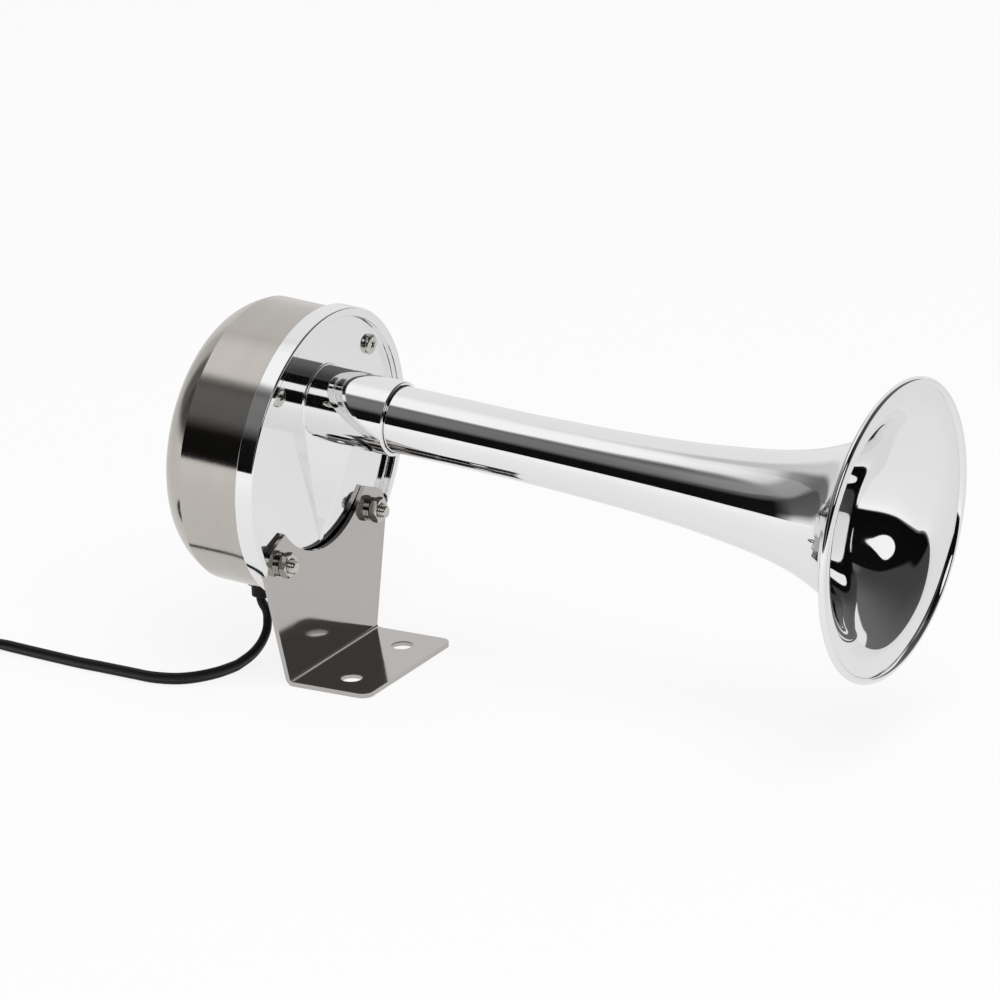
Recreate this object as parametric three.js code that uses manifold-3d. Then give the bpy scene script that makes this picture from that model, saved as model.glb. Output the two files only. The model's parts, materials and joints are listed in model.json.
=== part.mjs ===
// Electric trumpet horn on an angle bracket: a motor in a brushed steel drum drives a diaphragm
// behind a chromed front plate, and a chromed trumpet stands in the plate's socket.
// Millimetres, +Z up. The origin is the centre of the bracket foot's underside and the trumpet
// points along -Y. The head is modelled in its own axes: x to the right, y up the plate,
// z out along the trumpet, with zero at the front of the plate's lip.
import * as THREE from 'three';
import { mergeVertices } from 'three/addons/utils/BufferGeometryUtils.js';
import Module from 'manifold-3d';

const wasm = await Module();
wasm.setup();

// Shared values
const seat_gap = 0.3;
const overrun = 1;
const merge_distance = 0.0001;
const nut_gap = 0.45;
const round_steps = 48;
const small_steps = 14;
const nose_down_deg = 3.6;

// The drum's radius sets the sizes of the plate, the bell, the stack behind the plate and the studs
const drum_radius = 50.2;
const drum_wall = 0.9;

// Front plate
const rim_overhang = 1.8;
const plate_radius = drum_radius + rim_overhang;
const lip_width = 3.4;
const lip_height = 3;
const lip_chamfer = 0.8;
const plate_thickness = 2;
const rim_depth = 6.7;
const stud_inset = 6.9;
const stud_circle_radius = drum_radius - stud_inset;
const stud_angles_deg = [45, 135, 225, 315];
const stud_radius = 2.4;
const stud_hole_radius = 2.8;
const seat_boss_radius = 4.4;
const axis_rise = 19;
const socket_radius = 13.2;
const socket_wall = 1.2;
const socket_length = 28;
const socket_shoulder = 5;
const throat_radius = 8.5;
const rib_foot_drop = 34.4;
const rib_rise_share = 0.31;

// Trumpet, as radii at distances from the plate's lip
const bell_wall = 1.1;
const mouth_distance = 219.6;
const mouth_beyond_plate = 0.5;
const mouth_radius = plate_radius + mouth_beyond_plate;
const tube_radius = 11.7;
const flare_start_share = 0.32;
const bell_distance_shares = [0.455, 0.546, 0.638, 0.706, 0.774, 0.82, 0.865, 0.902, 0.934, 0.961, 0.984];
const bell_radius_shares = [0.235, 0.25, 0.275, 0.304, 0.341, 0.378, 0.433, 0.498, 0.572, 0.685, 0.836];
const bead_radius = 1.3;
const bead_steps = 5;
const bead_turn_share = 0.75;
const seal_ring_width = 2.4;
const seal_ring_thickness = 1.2;

// Drum
const drum_straight_end = 30;
const shoulder_width = 14.2;
const shoulder_radius = drum_radius - shoulder_width;
const shoulder_depth = 12;
const shoulder_start_deg = 30;
const dome_rise = 2;
const shoulder_steps = 5;
const dome_steps = 2;
const cover_hole_radius = 3.2;
const vent_length = 5;
const vent_width = 1.6;
const vent_angles_deg = [186, 354];
const cover_seal_thickness = 1;
const cover_seal_width = 1.2;

// Clamped stack behind the plate, and the motor
const stack_clearance = 0.7;
const stack_radius = drum_radius - drum_wall - stack_clearance;
const gasket_width = 12.6;
const gasket_thickness = 1.6;
const diaphragm_thickness = 0.5;
const rear_gasket_thickness = 1;
const frame_thickness = 1.8;
const frame_opening_inset = 4.5;
const arm_slot_half_width = 4;
const arm_slot_share = 0.689;
const arm_slot_reach = stack_radius * arm_slot_share;
const diaphragm_rivet_radius = 2;
const rivet_head_radius = 4;
const rivet_head_thickness = 0.9;
const armature_radius = 9;
const armature_thickness = 2.6;
const armature_arm_half_width = 3;
const armature_arm_thickness = 1.4;
const armature_reach_share = 0.638;
const armature_reach = stack_radius * armature_reach_share;
const pusher_radius = 1.2;
const pusher_inset = 2.6;
const pole_gap = 0.9;
const yoke_share = 0.432;
const yoke_radius = stack_radius * yoke_share;
const frame_opening_radius = yoke_radius - frame_opening_inset;
const yoke_wall = 2;
const yoke_length = 24;
const yoke_flange_share = 1.286;
const yoke_flange_radius = yoke_radius * yoke_flange_share;
const yoke_flange_thickness = 1.6;
const yoke_screw_count = 3;
const yoke_screw_share = 1.143;
const yoke_screw_circle = yoke_radius * yoke_screw_share;
const yoke_screw_radius = 1.3;
const yoke_screw_head_radius = 2.4;
const yoke_screw_head_height = 1.6;
const core_share = 0.357;
const core_radius = yoke_radius * core_share;
const core_tail_radius = 3.6;
const bobbin_wall = 1;
const bobbin_inset = 3;
const bobbin_flange_radius = yoke_radius - bobbin_inset;
const winding_inset = 4.2;
const winding_radius = yoke_radius - winding_inset;

// Contact breaker, on the rear of the motor frame
const block_inner_share = 0.782;
const block_inner_x = stack_radius * block_inner_share;
const block_outer_share = 0.936;
const block_outer_x = stack_radius * block_outer_share;
const block_half_width = 4.5;
const block_height = 3.6;
const leaf_inner_share = 0.494;
const leaf_inner_x = stack_radius * leaf_inner_share;
const leaf_low_y = -3;
const leaf_high_y = 11;
const leaf_thickness = 0.6;
const contact_radius = 1.8;
const contact_height = 0.9;
const contact_share = 0.5885;
const contact_x = stack_radius * contact_share;
const contact_y = 8;
const tone_screw_radius = 1.5;
const tone_screw_share = 0.7346;
const tone_screw_x = stack_radius * tone_screw_share;
const tone_screw_y = 4;
const tone_screw_head_radius = 3;
const tone_screw_head_height = 1.8;
const tone_screw_slot = 0.8;
const bridge_thickness = 1.5;
const bridge_half_width = 3.2;
const bridge_wall_y = 12.5;
const bridge_foot_length = 5.5;
const bridge_clearance = 3;
const lock_nut_radius = 3;
const lock_nut_height = 1.6;

// Cover screw
const post_radius = 4.6;
const cover_screw_radius = 2.4;
const cover_screw_head_radius = 5.2;
const cover_screw_head_height = 2.6;
const cover_screw_grip = 4;
const cover_washer_radius = 6;
const cover_washer_thickness = 0.8;

// The lower studs with their nuts, and the upper screws
const nut_across_flats = 8;
const nut_height = 3.2;
const lock_washer_thickness = 1.1;
const lock_washer_radius = 4.2;
const lock_washer_gap_half_width = 0.5;
const stud_tip_beyond_nut = 2.2;
const plate_screw_head_radius = 3.4;
const plate_screw_head_height = 2.4;
const plate_screw_crown = 0.9;
const plate_screw_reach = 2.5;
const stud_collar_radius = 4.2;
const stud_collar_height = 1.6;

// Bracket; the ears and the scoop follow the stud circle
const sheet = 1.7;
const foot_depth = 32.6;
const foot_half_width = 29.5;
const foot_corner_radius = 4;
const foot_hole_radius = 3.8;
const foot_hole_half_pitch = 17.3;
const foot_hole_forward = 2.8;
const bend_radius = 1;
const bend_steps = 5;
const web_lean_deg = 1.2;
const web_behind_lip = 1.6;
const plate_height = 75.8;
const plate_back = foot_depth / 2 - sheet - web_behind_lip;
const stud_reach = stud_circle_radius * Math.SQRT1_2;
const ear_beyond_stud = 10.1;
const ear_half_width = stud_reach + ear_beyond_stud;
const ear_above_stud = 9.8;
const ear_top_drop = stud_reach - ear_above_stud;
const ear_corner_radius = 9;
const ear_corner_below_stud = 1.8;
const ear_top_slope_deg = 20;
const scoop_inset = 9.3;
const scoop_radius = stud_circle_radius - scoop_inset;
const scoop_steps = 16;

// Lead, its grommet and its connector
const grommet_angle_deg = 263;
const grommet_back = 23;
const lead_diameter = 3.6;
const grommet_neck_radius = 3.6;
const grommet_flange_radius = 5.4;
const grommet_flange_thickness = 1.5;
const grommet_nose_length = 4;
const grommet_nose_radius = 3.1;
const grommet_bore_radius = 2.3;
const lead_sides = 8;
const lead_steps = 34;
const coil_centre = [-68.5, 152];
const coil_outer_radius = 29.5;
const coil_pitch = 4.9;
const coil_turns = 2.25;
const coil_loop_steps = 24;
const coil_lead_in_share = 0.15;
const coil_sides = 6;
const coil_tail_radius = 8.5;
const coil_tail_steps = 5;
const connector_length = 17;
const connector_width = 8;
const connector_height = 5.6;
const connector_collar_length = 3;
const connector_collar_share = 0.72;
const pin_length = 6;
const pin_width = 1.8;
const pin_thickness = 0.8;

// The lead hangs from the grommet: offsets from its mouth across and back, and the share of the
// mouth's height that is left
const lead_hang = [
  [0, 0.1, 0.985], [0.1, -0.4, 0.89], [0.8, -1.3, 0.768], [0.8, -1.9, 0.667], [0.3, -2.2, 0.561],
  [-0.5, -2.5, 0.465], [-1.6, -2.6, 0.374], [-4.9, -2.4, 0.222], [-10.2, -1.9, 0.106],
  [-16.8, -0.7, 0.035],
];
// Then it runs along the floor to the coil
const lead_floor = [
  [-28.6, 39.9], [-33.4, 41.5], [-38.2, 44.2], [-42, 47.4], [-44.8, 51.3], [-46.4, 55.9],
  [-47.2, 61], [-46.9, 67], [-46.6, 73.6], [-46.2, 82], [-45.9, 90.5], [-44.8, 102],
  [-43.5, 114], [-42, 126.3], [-40.3, 136], [-39.3, 143], [-39, 148.1],
];

const rad = THREE.MathUtils.degToRad;

const finishes = {
  chrome: { color: 0xe6e6e8, roughness: 0.05, metalness: 1 },
  brushed: { color: 0xb9b5ae, roughness: 0.32, metalness: 1 },
  zinc: { color: 0xb4b2ab, roughness: 0.3, metalness: 1 },
  steel: { color: 0x8d8f91, roughness: 0.4, metalness: 1 },
  rubber: { color: 0x161617, roughness: 0.75, metalness: 0 },
  black_plastic: { color: 0x1b1b1d, roughness: 0.5, metalness: 0 },
  fibre: { color: 0x6a3f24, roughness: 0.7, metalness: 0 },
  copper: { color: 0xa9602f, roughness: 0.35, metalness: 1 },
  brass: { color: 0xc09a4a, roughness: 0.3, metalness: 1 },
};

// Keep positions only, join shared vertices, drop flat triangles and turn the faces outwards
function tidy(geometry) {
  const bare = geometry.clone();
  bare.deleteAttribute('normal');
  bare.deleteAttribute('uv');
  const merged = mergeVertices(bare, merge_distance);
  const place = merged.getAttribute('position');
  const source = merged.index.array;
  const faces = [];
  let volume = 0;
  const a = new THREE.Vector3();
  const b = new THREE.Vector3();
  const c = new THREE.Vector3();
  for (let i = 0; i < source.length; i += 3) {
    const [p, q, r] = [source[i], source[i + 1], source[i + 2]];
    if (p === q || q === r || r === p) {
      continue;
    }
    faces.push(p, q, r);
    a.fromBufferAttribute(place, p);
    b.fromBufferAttribute(place, q);
    c.fromBufferAttribute(place, r);
    volume += a.dot(b.cross(c));
  }
  if (volume < 0) {
    for (let i = 0; i < faces.length; i += 3) {
      [faces[i + 1], faces[i + 2]] = [faces[i + 2], faces[i + 1]];
    }
  }
  merged.setIndex(faces);
  return merged;
}

function solidOf(geometry) {
  const clean = tidy(geometry);
  const place = clean.getAttribute('position').array;
  return new wasm.Manifold(new wasm.Mesh({
    numProp: 3,
    vertProperties: new Float32Array(place),
    triVerts: new Uint32Array(clean.index.array),
  }));
}

function geometryOf(solid) {
  const mesh = solid.getMesh();
  const geometry = new THREE.BufferGeometry();
  geometry.setAttribute('position', new THREE.Float32BufferAttribute(mesh.vertProperties, 3));
  geometry.setIndex(Array.from(mesh.triVerts));
  return tidy(geometry);
}

// Join the first list of shapes and cut the second from it
function joinAndCut(added, removed = []) {
  let solid = solidOf(added[0]);
  for (const shape of added.slice(1)) {
    solid = solid.add(solidOf(shape));
  }
  for (const shape of removed) {
    solid = solid.subtract(solidOf(shape));
  }
  return geometryOf(solid);
}

// A turned shape about z from [radius, z] points; a ring profile closes on itself
function turned(points, steps = round_steps, ring = false) {
  const profile = points.map(([r, z]) => new THREE.Vector2(r, z));
  if (ring) {
    profile.push(profile[0].clone());
  }
  const geometry = new THREE.LatheGeometry(profile, steps);
  geometry.rotateX(Math.PI / 2);
  return geometry;
}

function rod(radius, low, high, steps = small_steps) {
  return turned([[0, low], [radius, low], [radius, high], [0, high]], steps);
}

function tube(inner, outer, low, high, steps = round_steps) {
  return turned([[inner, low], [outer, low], [outer, high], [inner, high]], steps, true);
}

function moved(geometry, x, y, z = 0) {
  return geometry.clone().translate(x, y, z);
}

// A box between two corners
function block(low, high) {
  const size = high.map((value, i) => value - low[i]);
  const geometry = new THREE.BoxGeometry(...size);
  return geometry.translate(...low.map((value, i) => value + size[i] / 2));
}

// A flat outline raised along z from low to high
function raised(outline, low, high) {
  const shape = new THREE.Shape(outline.map(([x, y]) => new THREE.Vector2(x, y)));
  const geometry = new THREE.ExtrudeGeometry(shape, { depth: high - low, bevelEnabled: false });
  return geometry.translate(0, 0, low);
}

function hexagon(across) {
  const corner = across / 2 / Math.cos(Math.PI / 6);
  return Array.from({ length: 6 }, (unused, i) => {
    const angle = i * Math.PI / 3;
    return [corner * Math.cos(angle), corner * Math.sin(angle)];
  });
}

function arc(cx, cy, radius, from, to, steps) {
  return Array.from({ length: steps + 1 }, (unused, i) => {
    const angle = from + (to - from) * i / steps;
    return [cx + radius * Math.cos(angle), cy + radius * Math.sin(angle)];
  });
}

function cordTube(curve, diameter, sides, steps) {
  const section = new THREE.Shape(
    arc(0, 0, diameter / 2, 0, 2 * Math.PI * (sides - 1) / sides, sides - 1)
      .map(([x, y]) => new THREE.Vector2(x, y)));
  return new THREE.ExtrudeGeometry(section, { steps, extrudePath: curve, bevelEnabled: false });
}

function curveThrough(points) {
  return new THREE.CatmullRomCurve3(points.map((p) => new THREE.Vector3(...p)), false, 'centripetal');
}

const horn = new THREE.Group();
const head = new THREE.Group();
head.position.set(0, plate_back, plate_height);
head.rotation.x = Math.PI / 2 + rad(nose_down_deg);
horn.add(head);
head.updateMatrixWorld(true);

// The upright web leans back a little: where its front stands at a height
const lean = rad(web_lean_deg);
const bend_outer = bend_radius + sheet;
const bend_y = foot_depth / 2 - bend_outer;
function webFrontAt(height) {
  return bend_y + bend_radius / Math.cos(lean) + (height - bend_outer) * Math.tan(lean);
}

function piece(parent, name, geometry, finish) {
  const mesh = new THREE.Mesh(tidy(geometry), new THREE.MeshStandardMaterial(finishes[finish]));
  mesh.name = name;
  parent.add(mesh);
  return mesh;
}

const studPlaces = stud_angles_deg.map((angle) => [
  stud_circle_radius * Math.cos(rad(angle)),
  stud_circle_radius * Math.sin(rad(angle)),
]);
const studHoles = (low, high) => studPlaces.map(([x, y]) => moved(rod(stud_hole_radius, low, high), x, y));

// Levels behind the lip, front to back
const face_z = -lip_height;
const plate_rear_z = face_z - plate_thickness;
const front_gasket_z = plate_rear_z - seat_gap;
const diaphragm_z = front_gasket_z - gasket_thickness - seat_gap;
const rear_gasket_z = diaphragm_z - diaphragm_thickness - seat_gap;
const frame_z = rear_gasket_z - rear_gasket_thickness - seat_gap;
const frame_rear_z = frame_z - frame_thickness;
const yoke_z = frame_rear_z - seat_gap;
const yoke_rear_z = yoke_z - yoke_length;
const drum_front_z = plate_rear_z - seat_gap - cover_seal_thickness - seat_gap;
const drum_rear_z = -drum_straight_end - shoulder_depth - dome_rise;

function frontPlate() {
  const skirt = drum_radius + seat_gap + lip_chamfer / 2;
  const disc = turned([
    [0, face_z], [plate_radius - lip_width, face_z], [plate_radius - lip_width, 0],
    [plate_radius - lip_chamfer, 0], [plate_radius, -lip_chamfer], [plate_radius, -rim_depth],
    [skirt, -rim_depth], [skirt, plate_rear_z], [0, plate_rear_z],
  ], round_steps + small_steps);
  const root = face_z - plate_thickness / 2;
  const socket = moved(turned([
    [0, root], [socket_radius, root], [socket_radius, socket_length - lip_chamfer],
    [socket_radius - lip_chamfer / 2, socket_length], [0, socket_length],
  ], round_steps), 0, axis_rise);
  const bore = moved(rod(socket_radius - socket_wall, socket_shoulder, socket_length + overrun,
    round_steps), 0, axis_rise);
  const throat = moved(rod(throat_radius, plate_rear_z - overrun, socket_shoulder + overrun,
    round_steps), 0, axis_rise);
  // The rib's foot lines run tangent to the socket and its ridge climbs towards it
  const run = axis_rise + rib_foot_drop;
  const half_angle = Math.asin(socket_radius / run);
  const corner = [socket_radius * Math.cos(half_angle), axis_rise - socket_radius * Math.sin(half_angle)];
  const ridge_z = face_z + rib_rise_share * (corner[1] + rib_foot_drop);
  const rib = new THREE.BufferGeometry();
  rib.setAttribute('position', new THREE.Float32BufferAttribute([
    0, -rib_foot_drop, face_z,
    corner[0], corner[1], face_z,
    -corner[0], corner[1], face_z,
    0, corner[1], ridge_z,
    0, -rib_foot_drop, root,
    corner[0], corner[1], root,
    -corner[0], corner[1], root,
  ], 3));
  rib.setIndex([0, 1, 3, 0, 3, 2, 1, 2, 3, 4, 6, 5, 0, 4, 5, 0, 5, 1, 1, 5, 6, 1, 6, 2, 2, 6, 4, 2, 4, 0]);
  const bosses = studPlaces.slice(2).map(([x, y]) => moved(rod(seat_boss_radius, root, 0), x, y));
  // The lip and the lower bosses are planed level where the upright bracket seats
  const seat = onWeb(raised(webOutline(seat_gap), -sheet - seat_gap, foot_depth), 0);
  seat.applyMatrix4(head.matrixWorld.clone().invert());
  const seated = joinAndCut([disc, ...bosses], [seat]);
  return joinAndCut([seated, socket, rib],
    [bore, throat, ...studHoles(plate_rear_z - overrun, overrun)]);
}

function bellProfile() {
  const outer = [[tube_radius, socket_shoulder + seal_ring_thickness + 2 * seat_gap],
    [tube_radius, mouth_distance * flare_start_share]];
  bell_distance_shares.forEach((share, i) => {
    outer.push([mouth_radius * bell_radius_shares[i], mouth_distance * share]);
  });
  // The mouth's edge is rolled into a bead
  const bead = arc(mouth_radius - bead_radius, mouth_distance - bead_radius, bead_radius,
    -Math.PI / 2, Math.PI * bead_turn_share, bead_steps);
  const inner = outer.slice().reverse().map(([r, z], i, all) => {
    const before = all[Math.max(i - 1, 0)];
    const after = all[Math.min(i + 1, all.length - 1)];
    const slope = Math.atan2(before[0] - after[0], before[1] - after[1]);
    const drop = i === all.length - 1 ? 0 : bell_wall * Math.sin(slope);
    return [r - bell_wall * Math.cos(slope), z + drop];
  });
  return [...outer, ...bead, ...inner];
}

function drumProfile(inset) {
  const points = [[drum_radius - inset, drum_front_z], [drum_radius - inset, -drum_straight_end]];
  // The shoulder leaves the wall at a crease and rounds over to the rear
  const start = rad(shoulder_start_deg);
  for (let i = 1; i <= shoulder_steps; i += 1) {
    const angle = start + i / shoulder_steps * (Math.PI / 2 - start);
    const fall = (Math.sin(angle) - Math.sin(start)) / (1 - Math.sin(start));
    points.push([
      shoulder_radius + (drum_radius - inset - shoulder_radius) * Math.cos(angle) / Math.cos(start),
      -drum_straight_end - (shoulder_depth - inset) * fall,
    ]);
  }
  for (let i = 1; i <= dome_steps; i += 1) {
    const r = shoulder_radius + (cover_hole_radius - shoulder_radius) * i / dome_steps;
    const fall = dome_rise * (1 - (r / shoulder_radius) ** 2);
    points.push([r, -drum_straight_end - shoulder_depth + inset - fall]);
  }
  return points;
}

// Turn a shape made about z so that it points straight out of the drum at the grommet
function atGrommet(geometry) {
  const angle = rad(grommet_angle_deg);
  const turnedOut = geometry.clone().rotateX(-Math.PI / 2).rotateZ(angle - Math.PI / 2);
  return turnedOut.translate(0, 0, -grommet_back);
}

function motorCover() {
  const profile = [...drumProfile(0), ...drumProfile(drum_wall).reverse()];
  const shell = turned(profile, round_steps + small_steps, true);
  const hole = atGrommet(rod(grommet_neck_radius + seat_gap, drum_radius - grommet_flange_radius,
    drum_radius + overrun));
  const vents = vent_angles_deg.map((angle) => {
    const slot = block([drum_radius - shoulder_depth, -vent_length / 2, -drum_straight_end - shoulder_depth],
      [drum_radius + overrun, vent_length / 2, -drum_straight_end - shoulder_depth + 2 * vent_width]);
    return slot.rotateZ(rad(angle));
  });
  return joinAndCut([shell], [hole, ...vents]);
}

function motorFrame() {
  const slot = block([0, -arm_slot_half_width, frame_rear_z - overrun],
    [arm_slot_reach, arm_slot_half_width, frame_z + overrun]);
  return joinAndCut([rod(stack_radius, frame_rear_z, frame_z, round_steps)],
    [rod(frame_opening_radius, frame_rear_z - overrun, frame_z + overrun, round_steps), slot,
      ...studHoles(frame_rear_z - overrun, frame_z + overrun)]);
}

// Flange and cup in one, open to the armature's arm
function yokeCup() {
  const cup = turned([
    [core_tail_radius + seat_gap, yoke_rear_z], [yoke_radius, yoke_rear_z],
    [yoke_radius, yoke_z - yoke_flange_thickness], [yoke_flange_radius, yoke_z - yoke_flange_thickness],
    [yoke_flange_radius, yoke_z], [yoke_radius - yoke_wall, yoke_z],
    [yoke_radius - yoke_wall, yoke_rear_z + yoke_wall],
    [core_tail_radius + seat_gap, yoke_rear_z + yoke_wall],
  ], round_steps, true);
  const below = yoke_z - yoke_flange_thickness - overrun;
  const notch = block([yoke_radius + yoke_wall, -arm_slot_half_width, below],
    [yoke_flange_radius + overrun, arm_slot_half_width, yoke_z + overrun]);
  const holes = yokeScrewPlaces().map(([x, y]) => moved(
    rod(yoke_screw_radius + seat_gap, below, yoke_z + overrun), x, y));
  return joinAndCut([cup], [notch, ...holes]);
}

function yokeScrewPlaces() {
  return Array.from({ length: yoke_screw_count }, (unused, i) => {
    const angle = Math.PI / 3 + i * 2 * Math.PI / yoke_screw_count;
    return [yoke_screw_circle * Math.cos(angle), yoke_screw_circle * Math.sin(angle)];
  });
}

const armature_z = diaphragm_z - diaphragm_thickness - seat_gap;
const pole_z = armature_z - armature_thickness - pole_gap;
const block_z = frame_rear_z - seat_gap;
const leaf_z = block_z - block_height - seat_gap;

function armature() {
  const arm_rear = armature_z - armature_arm_thickness;
  const disc = rod(armature_radius, armature_z - armature_thickness, armature_z, small_steps * 2);
  const arm = block([0, -armature_arm_half_width, arm_rear],
    [armature_reach, armature_arm_half_width, armature_z]);
  const pusher = moved(rod(pusher_radius, leaf_z + seat_gap, armature_z - armature_arm_thickness / 2),
    armature_reach - pusher_inset, 0);
  const bore = rod(diaphragm_rivet_radius + seat_gap, armature_z - armature_thickness - overrun,
    armature_z + overrun);
  return joinAndCut([disc, arm, pusher], [bore]);
}

function poleCore() {
  return turned([
    [0, yoke_rear_z], [core_tail_radius, yoke_rear_z], [core_tail_radius, yoke_rear_z + yoke_wall + seat_gap],
    [core_radius, yoke_rear_z + yoke_wall + seat_gap], [core_radius, pole_z], [0, pole_z],
  ], small_steps * 2);
}

const bobbin_front_z = pole_z - seat_gap;
const bobbin_rear_z = yoke_rear_z + yoke_wall + seat_gap;

function bobbin() {
  const inner = core_radius + seat_gap;
  return turned([
    [inner, bobbin_rear_z], [bobbin_flange_radius, bobbin_rear_z],
    [bobbin_flange_radius, bobbin_rear_z + bobbin_wall], [inner + bobbin_wall, bobbin_rear_z + bobbin_wall],
    [inner + bobbin_wall, bobbin_front_z - bobbin_wall], [bobbin_flange_radius, bobbin_front_z - bobbin_wall],
    [bobbin_flange_radius, bobbin_front_z], [inner, bobbin_front_z],
  ], small_steps * 2, true);
}

function contactArm() {
  const leaf = block([leaf_inner_x, leaf_low_y, leaf_z - leaf_thickness],
    [block_inner_x - seat_gap, leaf_high_y, leaf_z]);
  const button = moved(rod(contact_radius, leaf_z - leaf_thickness / 2, leaf_z + contact_height),
    contact_x, contact_y);
  return joinAndCut([leaf, button]);
}

const bridge_z = leaf_z - leaf_thickness - bridge_clearance;

function toneBridge() {
  const low_x = tone_screw_x - bridge_half_width;
  const high_x = tone_screw_x + bridge_half_width;
  const top = block([low_x, tone_screw_y - bridge_half_width, bridge_z - bridge_thickness],
    [high_x, bridge_wall_y + bridge_thickness, bridge_z]);
  const wall = block([low_x, bridge_wall_y, bridge_z - bridge_thickness],
    [high_x, bridge_wall_y + bridge_thickness, block_z]);
  const foot = block([low_x, bridge_wall_y, block_z - bridge_thickness],
    [high_x, bridge_wall_y + bridge_thickness + bridge_foot_length, block_z]);
  const thread = moved(rod(tone_screw_radius + seat_gap, bridge_z - bridge_thickness - overrun,
    bridge_z + overrun), tone_screw_x, tone_screw_y);
  return joinAndCut([top, wall, foot], [thread]);
}

function toneScrew() {
  const nut_rear = bridge_z - bridge_thickness - seat_gap - lock_nut_height;
  const head_front = nut_rear - seat_gap;
  const shank = rod(tone_screw_radius, head_front - tone_screw_head_height / 2,
    leaf_z - leaf_thickness - seat_gap);
  const cap = rod(tone_screw_head_radius, head_front - tone_screw_head_height, head_front);
  const slot = block(
    [-tone_screw_head_radius - overrun, -tone_screw_slot / 2, head_front - tone_screw_head_height - overrun],
    [tone_screw_head_radius + overrun, tone_screw_slot / 2, head_front - tone_screw_head_height / 2]);
  return moved(joinAndCut([shank, cap], [slot]), tone_screw_x, tone_screw_y);
}

function nut(height, across = nut_across_flats, bore = stud_radius) {
  return joinAndCut([raised(hexagon(across), 0, height)],
    [rod(bore + nut_gap, -overrun, height + overrun)]);
}

// A split spring washer
function lockWasher() {
  const gap = block([0, -lock_washer_gap_half_width, -overrun],
    [lock_washer_radius + overrun, lock_washer_gap_half_width, lock_washer_thickness + overrun]);
  return joinAndCut(
    [tube(stud_radius + nut_gap, lock_washer_radius, 0, lock_washer_thickness, small_steps)],
    [gap.rotateZ(Math.PI / 3)]);
}

// A stud has a collar behind the motor frame and runs forward to its nut
function studAt(x, y, tip) {
  const rear = frame_rear_z - seat_gap;
  return moved(turned([
    [0, rear - stud_collar_height], [stud_collar_radius, rear - stud_collar_height],
    [stud_collar_radius, rear], [stud_radius, rear], [stud_radius, tip - lip_chamfer / 2],
    [stud_radius - lip_chamfer / 2, tip], [0, tip],
  ], small_steps), x, y);
}

// A pan-head screw from the plate's face down through the stack
function plateScrew(x, y) {
  const seat = face_z + seat_gap;
  const top = seat + plate_screw_head_height;
  const crown = top - plate_screw_crown;
  const tip = frame_rear_z - plate_screw_reach;
  return moved(turned([
    [0, tip], [stud_radius, tip], [stud_radius, seat], [plate_screw_head_radius, seat],
    [plate_screw_head_radius, crown], [plate_screw_head_radius - plate_screw_crown, top], [0, top],
  ], small_steps), x, y);
}

// Stand a shape that is drawn flat and raised along z on the front of the web, at a distance
// along the web from the floor
function onWeb(geometry, rise) {
  const stood = geometry.clone().rotateX(Math.PI / 2 - lean);
  return stood.translate(0, webFrontAt(0) + rise * Math.sin(lean), rise * Math.cos(lean));
}

// An angle with a level foot and a web, whose two ears stand either side of a round scoop
function bracket() {
  const front = -foot_depth / 2;
  const profile = [
    [webFrontAt(plate_height) + sheet / Math.cos(lean), plate_height],
    ...arc(bend_y, bend_outer, bend_outer, -lean, -Math.PI / 2, bend_steps),
    [front, 0], [front, sheet],
    ...arc(bend_y, bend_outer, bend_radius, -Math.PI / 2, -lean, bend_steps),
    [webFrontAt(plate_height), plate_height],
  ];
  const strip = raised(profile, -ear_half_width - overrun, ear_half_width + overrun);
  strip.applyMatrix4(new THREE.Matrix4().makeBasis(
    new THREE.Vector3(0, 1, 0), new THREE.Vector3(0, 0, 1), new THREE.Vector3(1, 0, 0)));
  const web = onWeb(raised(webOutline(0), -sheet - overrun, overrun), 0);
  const foot = raised(footOutline(), -overrun, bend_outer + overrun);
  let solid = solidOf(strip).intersect(solidOf(web).add(solidOf(foot)));
  for (const side of [-1, 1]) {
    const hole = moved(rod(foot_hole_radius, -overrun, sheet + overrun, small_steps * 2),
      side * foot_hole_half_pitch, -foot_hole_forward);
    solid = solid.subtract(solidOf(hole));
  }
  for (const [x, y] of studPlaces.slice(2)) {
    const crossing = webCrossing(y);
    const hole = moved(rod(stud_hole_radius, crossing - 2 * sheet, crossing + sheet), x, y);
    solid = solid.subtract(solidOf(hole.applyMatrix4(head.matrixWorld)));
  }
  return geometryOf(solid);
}

// How far along the head's z a line at the given head y meets the front of the web
function webCrossing(y) {
  const tilt = rad(nose_down_deg);
  const start_y = plate_back - y * Math.sin(tilt);
  const start_z = plate_height + y * Math.cos(tilt);
  return (start_y - webFrontAt(start_z)) / (Math.cos(tilt) - Math.sin(tilt) * Math.tan(lean));
}

// The web seen from the front, in its own plane, and grown all round by a margin
function webOutline(margin) {
  const bottom = bend_radius;
  const r = ear_corner_radius + margin;
  const corner_x = ear_half_width - ear_corner_radius;
  const corner_z = plate_height - stud_reach - ear_corner_below_stud;
  const slope = rad(ear_top_slope_deg);
  const scoop = scoop_radius - margin;
  const scoop_edge = Math.asin((ear_top_drop - margin) / scoop);
  return [
    [-foot_half_width - margin, bottom], [foot_half_width + margin, bottom],
    ...arc(corner_x, corner_z, r, 0, Math.PI / 2 - slope, bend_steps),
    ...arc(0, plate_height, scoop, -scoop_edge, scoop_edge - Math.PI, scoop_steps),
    ...arc(-corner_x, corner_z, r, Math.PI / 2 + slope, Math.PI, bend_steps),
  ];
}

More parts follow.
